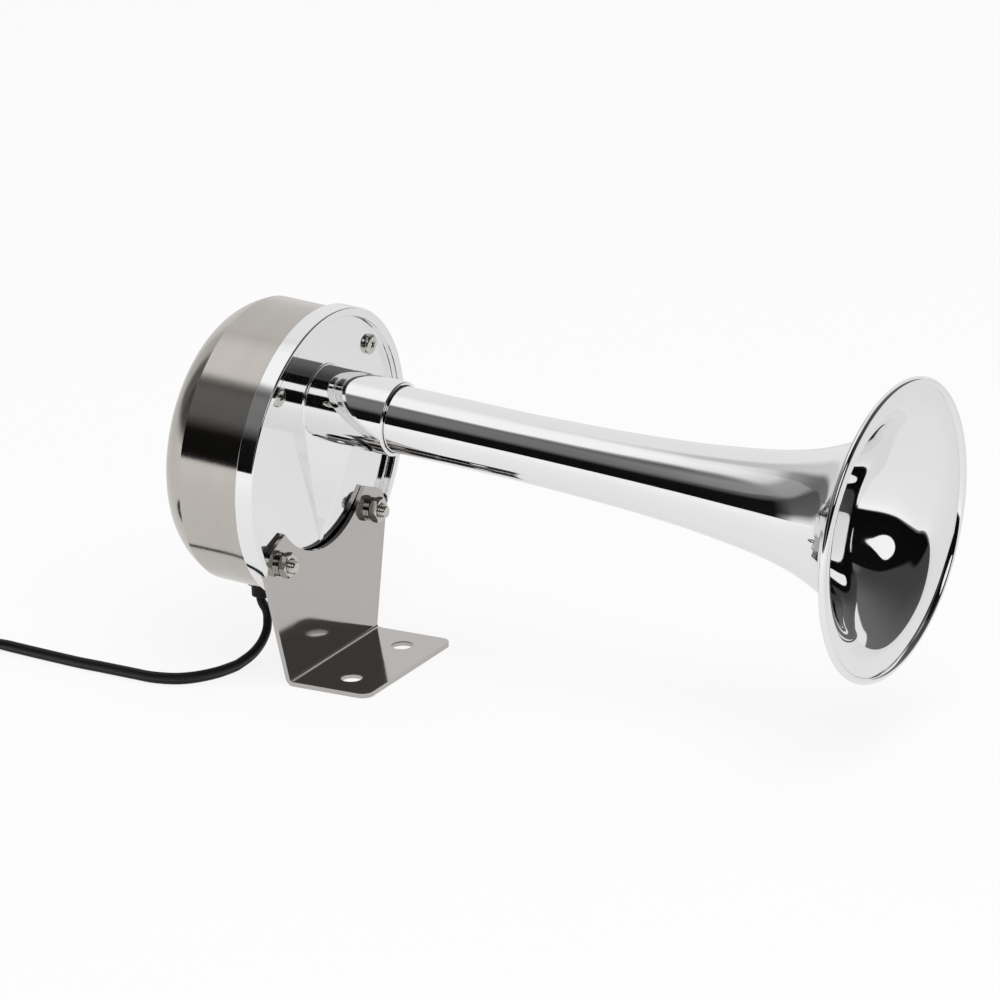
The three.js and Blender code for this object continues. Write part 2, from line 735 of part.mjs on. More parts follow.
function footOutline() {
  const r = foot_corner_radius;
  const front = -foot_depth / 2;
  return [
    [foot_half_width, foot_depth / 2], [-foot_half_width, foot_depth / 2],
    ...arc(-foot_half_width + r, front + r, r, Math.PI, 1.5 * Math.PI, bend_steps),
    ...arc(foot_half_width - r, front + r, r, 1.5 * Math.PI, 2 * Math.PI, bend_steps),
  ];
}

// How far the grommet's mouth stands from the drum's axis
function grommetReach() {
  return drum_radius + seat_gap + grommet_flange_thickness + grommet_nose_length;
}

function grommet() {
  const wall_inner = drum_radius - drum_wall - 2 * seat_gap;
  const wall_outer = drum_radius + seat_gap;
  const nose = wall_outer + grommet_flange_thickness;
  return atGrommet(turned([
    [grommet_bore_radius, wall_inner - grommet_flange_thickness],
    [grommet_flange_radius, wall_inner - grommet_flange_thickness],
    [grommet_flange_radius, wall_inner], [grommet_neck_radius, wall_inner],
    [grommet_neck_radius, wall_outer], [grommet_flange_radius, wall_outer],
    [grommet_flange_radius, nose], [grommet_neck_radius, nose],
    [grommet_nose_radius, nose + grommet_nose_length], [grommet_bore_radius, nose + grommet_nose_length],
  ], small_steps, true));
}

// The coil lies flat: it spirals inwards and turns in to the connector at its middle, with
// a straight stretch of one diameter at each end
function coilPoints() {
  const level = lead_diameter / 2;
  const count = Math.round(coil_turns * coil_loop_steps);
  const points = [[coil_centre[0] + coil_outer_radius, coil_centre[1] - lead_diameter, level]];
  for (let i = 0; i <= count; i += 1) {
    const turn = i / coil_loop_steps * 2 * Math.PI;
    const radius = coil_outer_radius - coil_pitch * Math.max(i / coil_loop_steps - coil_lead_in_share, 0);
    points.push([coil_centre[0] + radius * Math.cos(turn), coil_centre[1] + radius * Math.sin(turn), level]);
  }
  const [last_x, last_y] = points[points.length - 1];
  const end_turn = coil_turns * 2 * Math.PI;
  const cx = last_x - coil_tail_radius * Math.cos(end_turn);
  const cy = last_y - coil_tail_radius * Math.sin(end_turn);
  arc(cx, cy, coil_tail_radius, end_turn, Math.PI * (Math.floor(coil_turns) * 2 + 1), coil_tail_steps)
    .slice(1).forEach(([x, y]) => points.push([x, y, level]));
  const [end_x, end_y] = points[points.length - 1];
  points.push([end_x, end_y - lead_diameter, level]);
  return points;
}

// The least gap between turns of one tube, measured on points a bend apart or more
function leastGap(points, diameter) {
  let least = Infinity;
  const skip = Math.round(coil_loop_steps / 2);
  for (let i = 0; i < points.length; i += 1) {
    for (let j = i + skip; j < points.length; j += 1) {
      least = Math.min(least, Math.hypot(...points[i].map((value, k) => value - points[j][k])) - diameter);
    }
  }
  return least;
}

function connector(end) {
  const [x, y] = end;
  const bottom = seat_gap / 2;
  const start = y - seat_gap;
  const half = connector_width / 2;
  const narrow = half * connector_collar_share;
  const collar = block([x - narrow, start - connector_collar_length, bottom],
    [x + narrow, start, bottom + connector_height * connector_collar_share]);
  const body = block([x - half, start - connector_length, bottom],
    [x + half, start - connector_collar_length / 2, bottom + connector_height]);
  const mouths = [-1, 1].map((side) => moved(
    block([-pin_width / 2 - seat_gap, start - connector_length - overrun, -pin_thickness / 2 - seat_gap],
      [pin_width / 2 + seat_gap, start - connector_length + pin_length, pin_thickness / 2 + seat_gap]),
    x + side * half / 2, 0, bottom + connector_height / 2));
  return joinAndCut([collar, body], mouths);
}

function pinAt(end, side) {
  const [x, y] = end;
  const rear = y - seat_gap - connector_length + pin_length;
  return moved(block([-pin_width / 2, rear - pin_length, -pin_thickness / 2],
    [pin_width / 2, rear - seat_gap, pin_thickness / 2]),
  x + side * connector_width / 4, 0, (seat_gap + connector_height) / 2);
}

// Front plate, trumpet and cover
piece(head, 'front_plate', frontPlate(), 'chrome');
piece(head, 'trumpet', moved(turned(bellProfile(), round_steps, true), 0, axis_rise), 'chrome');
const seal_outer = socket_radius - socket_wall - seat_gap;
piece(head, 'trumpet_seal', moved(tube(seal_outer - seal_ring_width, seal_outer, socket_shoulder + seat_gap,
  socket_shoulder + seat_gap + seal_ring_thickness), 0, axis_rise), 'rubber');
piece(head, 'motor_cover', motorCover(), 'brushed');
piece(head, 'cover_seal', tube(drum_radius - cover_seal_width, drum_radius,
  plate_rear_z - seat_gap - cover_seal_thickness, plate_rear_z - seat_gap), 'rubber');

// Clamped stack
function gasket(front, thickness) {
  return joinAndCut([tube(stack_radius - gasket_width, stack_radius, front - thickness, front)],
    studHoles(front - thickness - overrun, front + overrun));
}
piece(head, 'front_gasket', gasket(front_gasket_z, gasket_thickness), 'rubber');
piece(head, 'diaphragm', joinAndCut(
  [tube(diaphragm_rivet_radius + seat_gap, stack_radius, diaphragm_z - diaphragm_thickness, diaphragm_z)],
  studHoles(diaphragm_z - diaphragm_thickness - overrun, diaphragm_z + overrun)), 'steel');
piece(head, 'rear_gasket', gasket(rear_gasket_z, rear_gasket_thickness), 'rubber');
piece(head, 'motor_frame', motorFrame(), 'zinc');

// Moving armature
piece(head, 'armature', armature(), 'steel');
piece(head, 'armature_rivet', turned([
  [0, armature_z - armature_thickness], [diaphragm_rivet_radius, armature_z - armature_thickness],
  [diaphragm_rivet_radius, diaphragm_z + seat_gap], [rivet_head_radius, diaphragm_z + seat_gap],
  [rivet_head_radius, diaphragm_z + seat_gap + rivet_head_thickness],
  [0, diaphragm_z + seat_gap + rivet_head_thickness],
], small_steps), 'steel');

// Electromagnet
piece(head, 'yoke_cup', yokeCup(), 'zinc');
piece(head, 'pole_core', poleCore(), 'steel');
piece(head, 'coil_bobbin', bobbin(), 'black_plastic');
piece(head, 'coil_winding', tube(core_radius + bobbin_wall + 2 * seat_gap, winding_radius,
  bobbin_rear_z + bobbin_wall + seat_gap, bobbin_front_z - bobbin_wall - seat_gap,
  small_steps * 2), 'copper');
yokeScrewPlaces().forEach(([x, y], i) => {
  const seat = yoke_z - yoke_flange_thickness - seat_gap;
  piece(head, `yoke_screw_${i + 1}`, moved(turned([
    [0, seat - yoke_screw_head_height], [yoke_screw_head_radius, seat - yoke_screw_head_height],
    [yoke_screw_head_radius, seat], [yoke_screw_radius, seat],
    [yoke_screw_radius, yoke_z], [0, yoke_z],
  ], small_steps), x, y), 'zinc');
});

// Contact breaker
piece(head, 'contact_block', block([block_inner_x, -block_half_width, block_z - block_height],
  [block_outer_x, block_half_width, block_z]), 'fibre');
piece(head, 'contact_terminal', block(
  [block_inner_x, -block_half_width + seat_gap, leaf_z - leaf_thickness],
  [block_outer_x, block_half_width - seat_gap, leaf_z]), 'brass');
piece(head, 'contact_arm', contactArm(), 'brass');
piece(head, 'fixed_contact', moved(rod(contact_radius, leaf_z + contact_height + seat_gap, block_z),
  contact_x, contact_y), 'brass');
piece(head, 'tone_bridge', toneBridge(), 'zinc');
piece(head, 'tone_screw', toneScrew(), 'zinc');
piece(head, 'tone_lock_nut', moved(nut(lock_nut_height, 2 * lock_nut_radius, tone_screw_radius),
  tone_screw_x, tone_screw_y, bridge_z - bridge_thickness - seat_gap - lock_nut_height), 'zinc');

// Cover fixing
piece(head, 'cover_post', tube(cover_screw_radius + seat_gap, post_radius,
  drum_rear_z + drum_wall + seat_gap, yoke_rear_z - seat_gap, small_steps), 'zinc');
const washer_z = drum_rear_z - seat_gap;
piece(head, 'cover_washer', tube(cover_screw_radius + seat_gap, cover_washer_radius,
  washer_z - cover_washer_thickness, washer_z, small_steps), 'rubber');
const cover_head_z = washer_z - cover_washer_thickness - seat_gap;
piece(head, 'cover_screw', turned([
  [0, cover_head_z - cover_screw_head_height],
  [cover_screw_head_radius / 2, cover_head_z - cover_screw_head_height],
  [cover_screw_head_radius, cover_head_z - cover_screw_head_height / 2],
  [cover_screw_head_radius, cover_head_z],
  [cover_screw_radius, cover_head_z], [cover_screw_radius, drum_rear_z + drum_wall + cover_screw_grip],
  [0, drum_rear_z + drum_wall + cover_screw_grip],
], small_steps), 'zinc');

// The upper pair of fasteners are screws; the lower pair are studs that clamp the bracket's ears
studPlaces.forEach(([x, y], i) => {
  const number = i + 1;
  if (y > 0) {
    piece(head, `plate_screw_${number}`, plateScrew(x, y), 'zinc');
    return;
  }
  const crossing = webCrossing(y);
  const rise = head.localToWorld(new THREE.Vector3(x, y, crossing)).z / Math.cos(lean);
  const washer = moved(lockWasher(), x, 0, seat_gap);
  const nut_seat = seat_gap + lock_washer_thickness + seat_gap;
  piece(horn, `lock_washer_${number}`, onWeb(washer, rise), 'zinc');
  piece(horn, `nut_${number}`, onWeb(moved(nut(nut_height), x, 0, nut_seat), rise), 'zinc');
  const tip = crossing + nut_seat + nut_height + stud_tip_beyond_nut;
  piece(head, `stud_${number}`, studAt(x, y, tip), 'zinc');
});

piece(horn, 'bracket', bracket(), 'brushed');

// Lead
piece(head, 'grommet', grommet(), 'rubber');
const grommet_turn = rad(grommet_angle_deg);
const mouth = head.localToWorld(new THREE.Vector3(
  grommetReach() * Math.cos(grommet_turn), grommetReach() * Math.sin(grommet_turn), -grommet_back));
const floor_level = lead_diameter / 2;
const lead_route = [
  ...lead_hang.map(([x, y, share]) => [
    mouth.x + x, mouth.y + y, floor_level + share * (mouth.z - floor_level)]),
  ...lead_floor.map(([x, y]) => [x, y, floor_level]),
];
const lead_curve = curveThrough(lead_route);
piece(horn, 'lead_run', cordTube(lead_curve, lead_diameter, lead_sides, lead_steps), 'black_plastic');
console.log('grommet mouth, mm:', mouth.toArray().map((value) => value.toFixed(2)).join(' '));
const coil = coilPoints();
const coil_curve = curveThrough(coil);
piece(horn, 'lead_coil', cordTube(coil_curve, lead_diameter, coil_sides, coil.length - 1),
  'black_plastic');
console.log('least gap between turns of the coil, mm:', leastGap(coil, lead_diameter).toFixed(2));
const lead_end = coil[coil.length - 1];
piece(horn, 'lead_connector', connector(lead_end), 'black_plastic');
piece(horn, 'connector_pin_1', pinAt(lead_end, -1), 'brass');
piece(horn, 'connector_pin_2', pinAt(lead_end, 1), 'brass');

export default horn;
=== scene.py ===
# The looks of the trumpet horn: polished chrome, brushed steel, zinc and rubber round the packed
# frame. Metres, +Z up, the trumpet points along -Y.
import json
import math

import bmesh
import bpy
from mathutils import Matrix, Vector


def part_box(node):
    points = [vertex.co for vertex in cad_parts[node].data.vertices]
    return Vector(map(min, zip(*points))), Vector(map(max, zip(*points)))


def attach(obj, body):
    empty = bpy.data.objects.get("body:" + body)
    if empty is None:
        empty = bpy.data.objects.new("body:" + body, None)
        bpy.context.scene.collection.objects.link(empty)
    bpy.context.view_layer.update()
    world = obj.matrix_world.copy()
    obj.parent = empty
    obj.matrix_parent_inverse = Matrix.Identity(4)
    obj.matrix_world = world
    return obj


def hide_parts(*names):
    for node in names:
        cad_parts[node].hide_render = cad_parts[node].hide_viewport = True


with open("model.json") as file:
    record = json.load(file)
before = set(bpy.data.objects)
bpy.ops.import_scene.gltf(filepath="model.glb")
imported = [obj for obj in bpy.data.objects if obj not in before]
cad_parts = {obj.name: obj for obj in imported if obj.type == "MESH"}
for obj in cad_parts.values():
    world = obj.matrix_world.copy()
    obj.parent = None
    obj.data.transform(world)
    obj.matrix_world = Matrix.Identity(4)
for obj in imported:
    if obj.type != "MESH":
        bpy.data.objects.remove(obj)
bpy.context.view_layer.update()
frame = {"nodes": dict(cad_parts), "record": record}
nodes = frame["nodes"]

level = Matrix.Identity(4)
half_turn = math.pi
quarter_turn = math.pi / 2
full_turn = 2 * math.pi

# Camera, from the photograph
image_px = 1000
focal_px = 8345
sensor_width = 36
camera_azimuth = math.radians(-59.61)
camera_elevation = math.radians(19.89)
camera_roll = math.radians(-2.05)
camera_distance = 2.8855
camera_clip_end = 20
plate_centre_px = (329.4, 454.5)

# Mesh fineness and shading
round_steps = 192
fine_steps = 48
arc_steps = 10
sharp_angle = math.radians(32)
level_angle = math.radians(0.3)
bevel_angle = math.radians(40)
bevel_segments = 2
flat_face_weight = 100

# Bracket, whose web leans back a little
sheet = 0.0017
foot_depth = 0.0326
foot_half_width = 0.0295
foot_corner_radius = 0.004
foot_hole_radius = 0.0038
foot_hole_half_pitch = 0.0173
foot_hole_y = -0.0028
bend_radius = 0.001
bend_steps = 12
stock_share = 1.1
web_lean = math.radians(1.2)
web_behind_lip = 0.0016
plate_height = 0.0758
sheet_edge_round = 0.0002
seat_gap = 0.0003

# The head's place, and the lean of its axis
nose_down = math.radians(3.6)
plate_centre = Vector((0, foot_depth / 2 - sheet - web_behind_lip, plate_height))
head = Matrix.Translation(plate_centre) @ Matrix.Rotation(quarter_turn + nose_down, 4, "X")

# Drum; its radius sets the plate and the studs
drum_radius = 0.0502
drum_wall = 0.0009
drum_front = -0.0066
drum_straight_end = -0.03
shoulder_radius = drum_radius - 0.0142
shoulder_depth = 0.012
shoulder_start = math.radians(30)
shoulder_steps = 20
dome_rise = 0.002
dome_steps = 12
drum_crease = math.radians(12)
cover_hole_radius = 0.0032
vent_length = 0.005
vent_width = 0.0016
vent_angles = [math.radians(186), math.radians(354)]

# Front plate
plate_radius = drum_radius + 0.0018
lip_width = 0.0034
lip_height = 0.003
lip_round = 0.0007
plate_thickness = 0.002
rim_depth = 0.0067
skirt_radius = 0.0509
stud_circle_radius = drum_radius - 0.0069
stud_angles = [math.radians(angle) for angle in (45, 135, 225, 315)]
stud_reach = stud_circle_radius * math.sqrt(0.5)
socket_radius = 0.0132
socket_wall = 0.0012
socket_length = 0.028
socket_shoulder = 0.005
throat_radius = 0.0085
axis_rise = 0.019
socket_fillet = 0.0008
rib_foot_drop = 0.0344
rib_rise_share = 0.31
seat_boss_radius = 0.0044
face_z = -lip_height
plate_rear_z = face_z - plate_thickness
on_axis = head @ Matrix.Translation((0, axis_rise, 0))

# The bracket's ears and scoop follow the stud circle
ear_half_width = stud_reach + 0.0101
ear_top_drop = stud_reach - 0.0098
ear_corner_radius = 0.009
ear_corner_drop = stud_reach + 0.0018
ear_top_slope = math.radians(20)
scoop_radius = stud_circle_radius - 0.0093
scoop_steps = 64

# Trumpet
mouth_distance = 0.2196
mouth_radius = 0.0525
tube_radius = 0.0117
tube_start = 0.0068
bell_wall = 0.0011
bead_radius = 0.0013
bead_turn = half_turn * 0.8
bead_steps = 14
flare_start_share = 0.32
bell_distance_shares = [0.455, 0.546, 0.638, 0.706, 0.774, 0.82, 0.865, 0.902, 0.934, 0.961, 0.984]
bell_radius_shares = [0.235, 0.25, 0.275, 0.304, 0.341, 0.378, 0.433, 0.498, 0.572, 0.685, 0.836]
bell_samples = 110
bell_crowding = 2.4
mouth_slope_gain = 1.3

# Studs with their nuts and washers, and the upper screws
stud_radius = 0.0024
stud_rear = -0.0114
stud_beyond_web = 0.0062
thread_pitch = 0.0008
thread_depth = 0.0003
thread_rows = 8
tip_chamfer = 0.0005
nut_across_flats = 0.008
nut_low = 0.0012
nut_high = 0.0042
nut_chamfer = 0.0004
nut_face_share = 0.98
nut_bore_flare = 0.0004
washer_inner = 0.0026
washer_outer = 0.0042
washer_half_gap = math.radians(7)
washer_gap_turn = math.radians(60)
washer_spring = 0.0002
screw_head_radius = 0.0036
screw_head_height = 0.0018
screw_head_edge = 0.0012
screw_head_crown = 0.00015
recess_half_width = 0.00045
recess_half_length = 0.0017
recess_depth = 0.0012
recess_taper = 0.6
recess_turn = math.radians(27)

# Cover screw and its washer, behind the drum
cover_washer_rear = -0.0451
cover_washer_front = -0.044
cover_washer_radius = 0.006
cover_head_rear = -0.048
cover_head_radius = 0.0052
cover_head_edge = 0.0013
cover_head_crown = 0.00013
cover_slot_half_width = 0.0006
cover_slot_depth = 0.0011
cover_slot_turn = math.radians(35)

# Grommet
grommet_angle = math.radians(263)
grommet_back = 0.023
grommet_flange_radius = 0.0054
grommet_flange_height = 0.0015
grommet_neck_radius = 0.0036
grommet_nose_radius = 0.0031
grommet_nose_length = 0.004
grommet_recess_radius = 0.0026
grommet_recess_depth = 0.0008
grommet_edge_round = 0.0004
grommet_root_depth = 0.0035
grommet_sink = 0.0004

# Lead, a flat twin that hangs from the grommet: offsets from its mouth, and the share of its height
lead_width = 0.0048
lead_thickness = 0.003
lead_groove_share = 0.9
lead_steps = 20
grommet_mouth = Vector((-0.00682, 0.03944, 0.02177))
lead_level = 0.0018
lead_level_reach = 1.02
lead_hang = [
    (0, 0.0001, 0.985), (0.0001, -0.0004, 0.89), (0.0008, -0.0013, 0.768), (0.0008, -0.0019, 0.667),
    (0.0003, -0.0022, 0.561), (-0.0005, -0.0025, 0.465), (-0.0016, -0.0026, 0.374),
    (-0.0049, -0.0024, 0.222), (-0.0102, -0.0019, 0.106), (-0.0168, -0.0007, 0.035),
]
# Then it runs along the floor to the coil
lead_floor = [
    (-0.0286, 0.0399), (-0.0334, 0.0415), (-0.0382, 0.0442), (-0.042, 0.0474), (-0.0448, 0.0513),
    (-0.0464, 0.0559), (-0.0472, 0.061), (-0.0469, 0.067), (-0.0466, 0.0736), (-0.0462, 0.082),
    (-0.0459, 0.0905), (-0.0448, 0.102), (-0.0435, 0.114), (-0.042, 0.1263), (-0.0403, 0.136),
    (-0.0393, 0.143), (-0.039, 0.1481),
]
# The twin's wide side where it hangs, and where along the floor it turns to lie flat
lead_first_side = Vector((0.863, 0.506, 0))
lead_flat_from = 0.122
lead_flat_run = 0.02

# Coil and connector
coil_centre = Vector((-0.0685, 0.152, 0))
coil_outer_radius = 0.0295
coil_pitch = 0.0049
coil_turns = 2.25
coil_loop_steps = 24
coil_lead_in_share = 0.15
coil_tail_radius = 0.0085
coil_tail_steps = 5
coil_end_straight = 0.0036
path_steps_per_span = 6
connector_height = 0.0056
connector_edge_round = 0.0002
connector_rib_count = 4
connector_rib_depth = 0.0003
connector_rib_inset = 0.001
neck_length = 0.003
neck_overlap = 0.001
neck_lift = 0.0004
neck_half_share = 0.36
neck_height_share = 0.78
pin_mouth_depth = 0.001

# Finishes: the scales of their noise are features per metre
noise_reach = (0.3, 0.7)
chrome_grey = 0.9
chrome_haze = 90
chrome_tone = 40
chrome_wave = 55
scratches = (60, 5200, 5200)
scratch_bands = (9, 1500, 1500)
sheet_dents = 30
turned_scratches = (2.2, 5200, 1)
turned_bands = (1.5, 160, 1)
grains_per_patch = 12
enamel_tone = 600
wire_ripple = 9000

# The floor: its half size, its own white, how much of it is light of its own, and the greys that chrome
# shows of it from one x to another
floor_half_size = 3
floor_white = 0.9
floor_share = 0.86
floor_in_chrome = [(-0.5, 1.0), (0.25, 0.85)]

# The studio. Each sector has the azimuth where it starts, the width over which it blends in, and the
# greys that chrome shows of it by elevation. They go from behind on the left, round the front, to
# behind on the right, and all angles are degrees. The softbox is a rounded square among them.
sectors = [
    (None, 0, [(-9, 0.88), (0, 0.84), (6, 0.36), (22, 0.3), (26, 0.56), (39, 0.6), (45, 0.8),
               (60, 0.99)]),
    (-152, 14, [(-9, 0.8), (-4, 0.08), (19, 0.06), (23, 0.3), (26, 0.36), (28, 0.52), (40, 0.52),
                (46, 0.42), (50, 0.35), (54, 0.6), (57, 0.97)]),
    (-133, 16, [(-12, 0.85), (-3, 0.05), (20, 0.06), (24, 0.27), (30, 0.42), (48, 0.44), (52, 0.37),
                (62, 0.9)]),
    (-98, 6, [(-6, 0.9), (0, 0.6), (20, 0.4), (60, 0.5), (80, 0.9)]),
    (-80, 6, [(-6, 0.95), (0.5, 0.03), (68, 0.05), (82, 0.7)]),
    (-2, 4, [(-8, 0.9), (-1, 0.24), (66, 0.24), (80, 0.7)]),
    (40, 60, [(-8, 0.86), (-1, 0.4), (40, 0.38), (66, 0.3), (80, 0.7)]),
    (72, 2, [(-20, 0.88), (0, 0.88), (60, 0.88)]),
    (146, 10, [(-9, 0.88), (0, 0.8), (55, 0.74), (62, 0.92)]),
    (164, 10, [(-9, 0.86), (0, 0.82), (6, 0.44), (25, 0.4), (40, 0.56), (48, 0.8), (62, 0.95)]),
]
softbox_centre = (-36, 34)
softbox_half = (18, 12.5)
softbox_squareness = 2.6
softbox_edge = 0.12

# The light on everything but polished metal
fill_strength = 0.75
lamp_energy = 18
lamp_size = 1.2
lamp_place = (-0.6, -0.7, 1.8)


# Camera

def make_camera():
    """A long lens that looks at the horn as the photograph does."""
    cos_e = math.cos(camera_elevation)
    back = Vector((math.sin(camera_azimuth) * cos_e, -math.cos(camera_azimuth) * cos_e,
                   math.sin(camera_elevation)))
    flat_right = Vector((math.cos(camera_azimuth), math.sin(camera_azimuth), 0))
    flat_up = back.cross(flat_right)
    right = math.cos(camera_roll) * flat_right + math.sin(camera_roll) * flat_up
    up = -math.sin(camera_roll) * flat_right + math.cos(camera_roll) * flat_up
    metres_per_px = camera_distance / focal_px
    across = (plate_centre_px[0] - image_px / 2) * metres_per_px
    above = (image_px / 2 - plate_centre_px[1]) * metres_per_px
    data = bpy.data.cameras.new("camera")
    data.sensor_width = sensor_width
    data.lens = focal_px * sensor_width / image_px
    data.clip_end = camera_clip_end
    camera = bpy.data.objects.new("camera", data)
    bpy.context.scene.collection.objects.link(camera)
    turn = Matrix((right, up, back)).transposed().to_4x4()
    place = plate_centre + camera_distance * back - across * right - above * up
    camera.matrix_world = Matrix.Translation(place) @ turn
    bpy.context.scene.camera = camera


# Mesh helpers

def new_object(name, verts, faces, matrix=level, look=None):
    """A mesh object whose vertices are turned into place, with its faces outwards."""
    mesh = bpy.data.meshes.new(name)
    mesh.from_pydata([matrix @ Vector(v) for v in verts], [], faces)
    piece = bpy.data.objects.new(name, mesh)
    bpy.context.scene.collection.objects.link(piece)
    work = bmesh.new()
    work.from_mesh(mesh)
    bmesh.ops.recalc_face_normals(work, faces=work.faces)
    work.to_mesh(mesh)
    work.free()
    if look:
        mesh.materials.append(looks[look])
    return piece


def loft(name, rings, matrix=level, look=None, closed=False, capped=False):
    """A skin over rings of points; a ring of one point is a pole."""
    verts, rows, faces = [], [], []
    for ring in rings:
        rows.append(range(len(verts), len(verts) + len(ring)))
        verts += ring
    pairs = list(zip(rows, rows[1:]))
    if closed:
        pairs.append((rows[-1], rows[0]))
    for low, high in pairs:
        count = max(len(low), len(high))
        for i in range(count):
            j = (i + 1) % count
            corners = [low[i % len(low)], low[j % len(low)], high[j % len(high)], high[i % len(high)]]
            faces.append(tuple(dict.fromkeys(corners)))
    if capped:
        faces += [tuple(reversed(rows[0])), tuple(rows[-1])]
    faces = [face for face in faces if len(face) > 2]
    return new_object(name, verts, faces, matrix, look)


def polar(radius, angle):
    return radius * math.cos(angle), radius * math.sin(angle)


def lathe(name, profile, matrix=head, steps=round_steps, look=None, closed=False):
    """Turns (radius, z) points about z."""
    rings = []
    for radius, z in profile:
        if radius == 0:
            rings.append([(0, 0, z)])
            continue
        rings.append([(*polar(radius, full_turn * i / steps), z) for i in range(steps)])
    return loft(name, rings, matrix, look, closed)


def cylinder(name, radius, low, high, matrix, steps=round_steps):
    return lathe(name, [(0, low), (radius, low), (radius, high), (0, high)], matrix, steps)


def prism(name, outline, low, high, matrix=level, look=None):
    """A flat outline raised along z."""
    rings = [[(x, y, z) for x, y in outline] for z in (low, high)]
    return loft(name, rings, matrix, look, capped=True)


def brick(name, low, high, matrix=level, look=None):
    outline = [(low[0], low[1]), (high[0], low[1]), (high[0], high[1]), (low[0], high[1])]
    return prism(name, outline, low[2], high[2], matrix, look)


def arc(cx, cy, radius, start, end, steps=arc_steps):
    return [(cx + radius * math.cos(start + (end - start) * i / steps),
             cy + radius * math.sin(start + (end - start) * i / steps)) for i in range(steps + 1)]


def apply_modifiers(piece):
    """Replaces the piece's mesh by what its modifiers make."""
    graph = bpy.context.evaluated_depsgraph_get()
    mesh = bpy.data.meshes.new_from_object(piece.evaluated_get(graph))
    old = piece.data
    piece.modifiers.clear()
    piece.data = mesh
    bpy.data.meshes.remove(old)


def combine(target, tools, operation):
    """Joins tools to the target, cuts them from it or keeps what they share, and removes them."""
    for tool in tools:
        modifier = target.modifiers.new(operation, "BOOLEAN")
        modifier.operation = operation
        modifier.solver = "EXACT"
        modifier.object = tool
    apply_modifiers(target)
    for tool in tools:
        bpy.data.objects.remove(tool)


def round_edges(piece, width):
    modifier = piece.modifiers.new("rounded edges", "BEVEL")
    modifier.width = width
    modifier.segments = bevel_segments
    modifier.limit_method = "ANGLE"
    modifier.angle_limit = bevel_angle
    apply_modifiers(piece)


def merge_level_faces(piece):
    """Joins the slivers that the cuts leave on flat faces, which would shade unevenly."""
    work = bmesh.new()
    work.from_mesh(piece.data)
    bmesh.ops.dissolve_limit(work, angle_limit=level_angle, verts=work.verts, edges=work.edges)
    work.to_mesh(piece.data)
    work.free()


def fit_to_horn(piece, slot, *replaced, crease=sharp_angle, weighted=True):
    """Smooths a new piece up to its creases, and has it ride on the horn for the CAD nodes named."""
    mesh = piece.data
    mesh.polygons.foreach_set("use_smooth", [True] * len(mesh.polygons))
    mesh.set_sharp_from_angle(angle=crease)
    if weighted:
        modifier = piece.modifiers.new("flat faces stay flat", "WEIGHTED_NORMAL")
        modifier.keep_sharp = True
        modifier.weight = flat_face_weight
    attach(piece, "horn")
    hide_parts(*replaced)


# Materials

class Graph:
    """Short names for the making of shader nodes."""

    def __init__(self, tree):
        self.tree = tree

    def node(self, kind, inputs=None, **settings):
        made = self.tree.nodes.new(kind)
        for key, value in settings.items():
            setattr(made, key, value)
        for key, value in (inputs or {}).items():
            self.fill(made.inputs[key], value)
        return made

    def fill(self, target, value):
        """A socket takes an output as a link, and anything else as its own value."""
        if isinstance(value, bpy.types.NodeSocket):
            self.tree.links.new(value, target)
        else:
            target.default_value = (*value, 1) if target.type == "RGBA" else value

    def math(self, operation, *values):
        return self.node("ShaderNodeMath", dict(enumerate(values)), operation=operation).outputs[0]

    def split(self, vector):
        return self.node("ShaderNodeSeparateXYZ", {"Vector": vector}).outputs

    def ranged(self, value, low, high, start, end, interpolation="LINEAR"):
        inputs = {"Value": value, "From Min": start, "From Max": end, "To Min": low, "To Max": high}
        made = self.node("ShaderNodeMapRange", inputs, interpolation_type=interpolation)
        return made.outputs["Result"]

    def blend(self, value, first, second):
        """Mixes two colours."""
        return self.node("ShaderNodeMix", {0: value, 6: first, 7: second}, data_type="RGBA").outputs[2]

    def mix(self, value, first, second):
        """Mixes two shaders."""
        return self.node("ShaderNodeMixShader", {0: value, 1: first, 2: second}).outputs[0]

    def ramp(self, value, stops):
        """Greys along a value from 0 to 1."""
        made = self.node("ShaderNodeValToRGB", {"Fac": value})
        elements = made.color_ramp.elements
        while len(elements) < len(stops):
            elements.new(0.5)
        for element, (place, grey) in zip(elements, stops):
            element.position = place
            element.color = (grey, grey, grey, 1)
        return made.outputs["Color"]


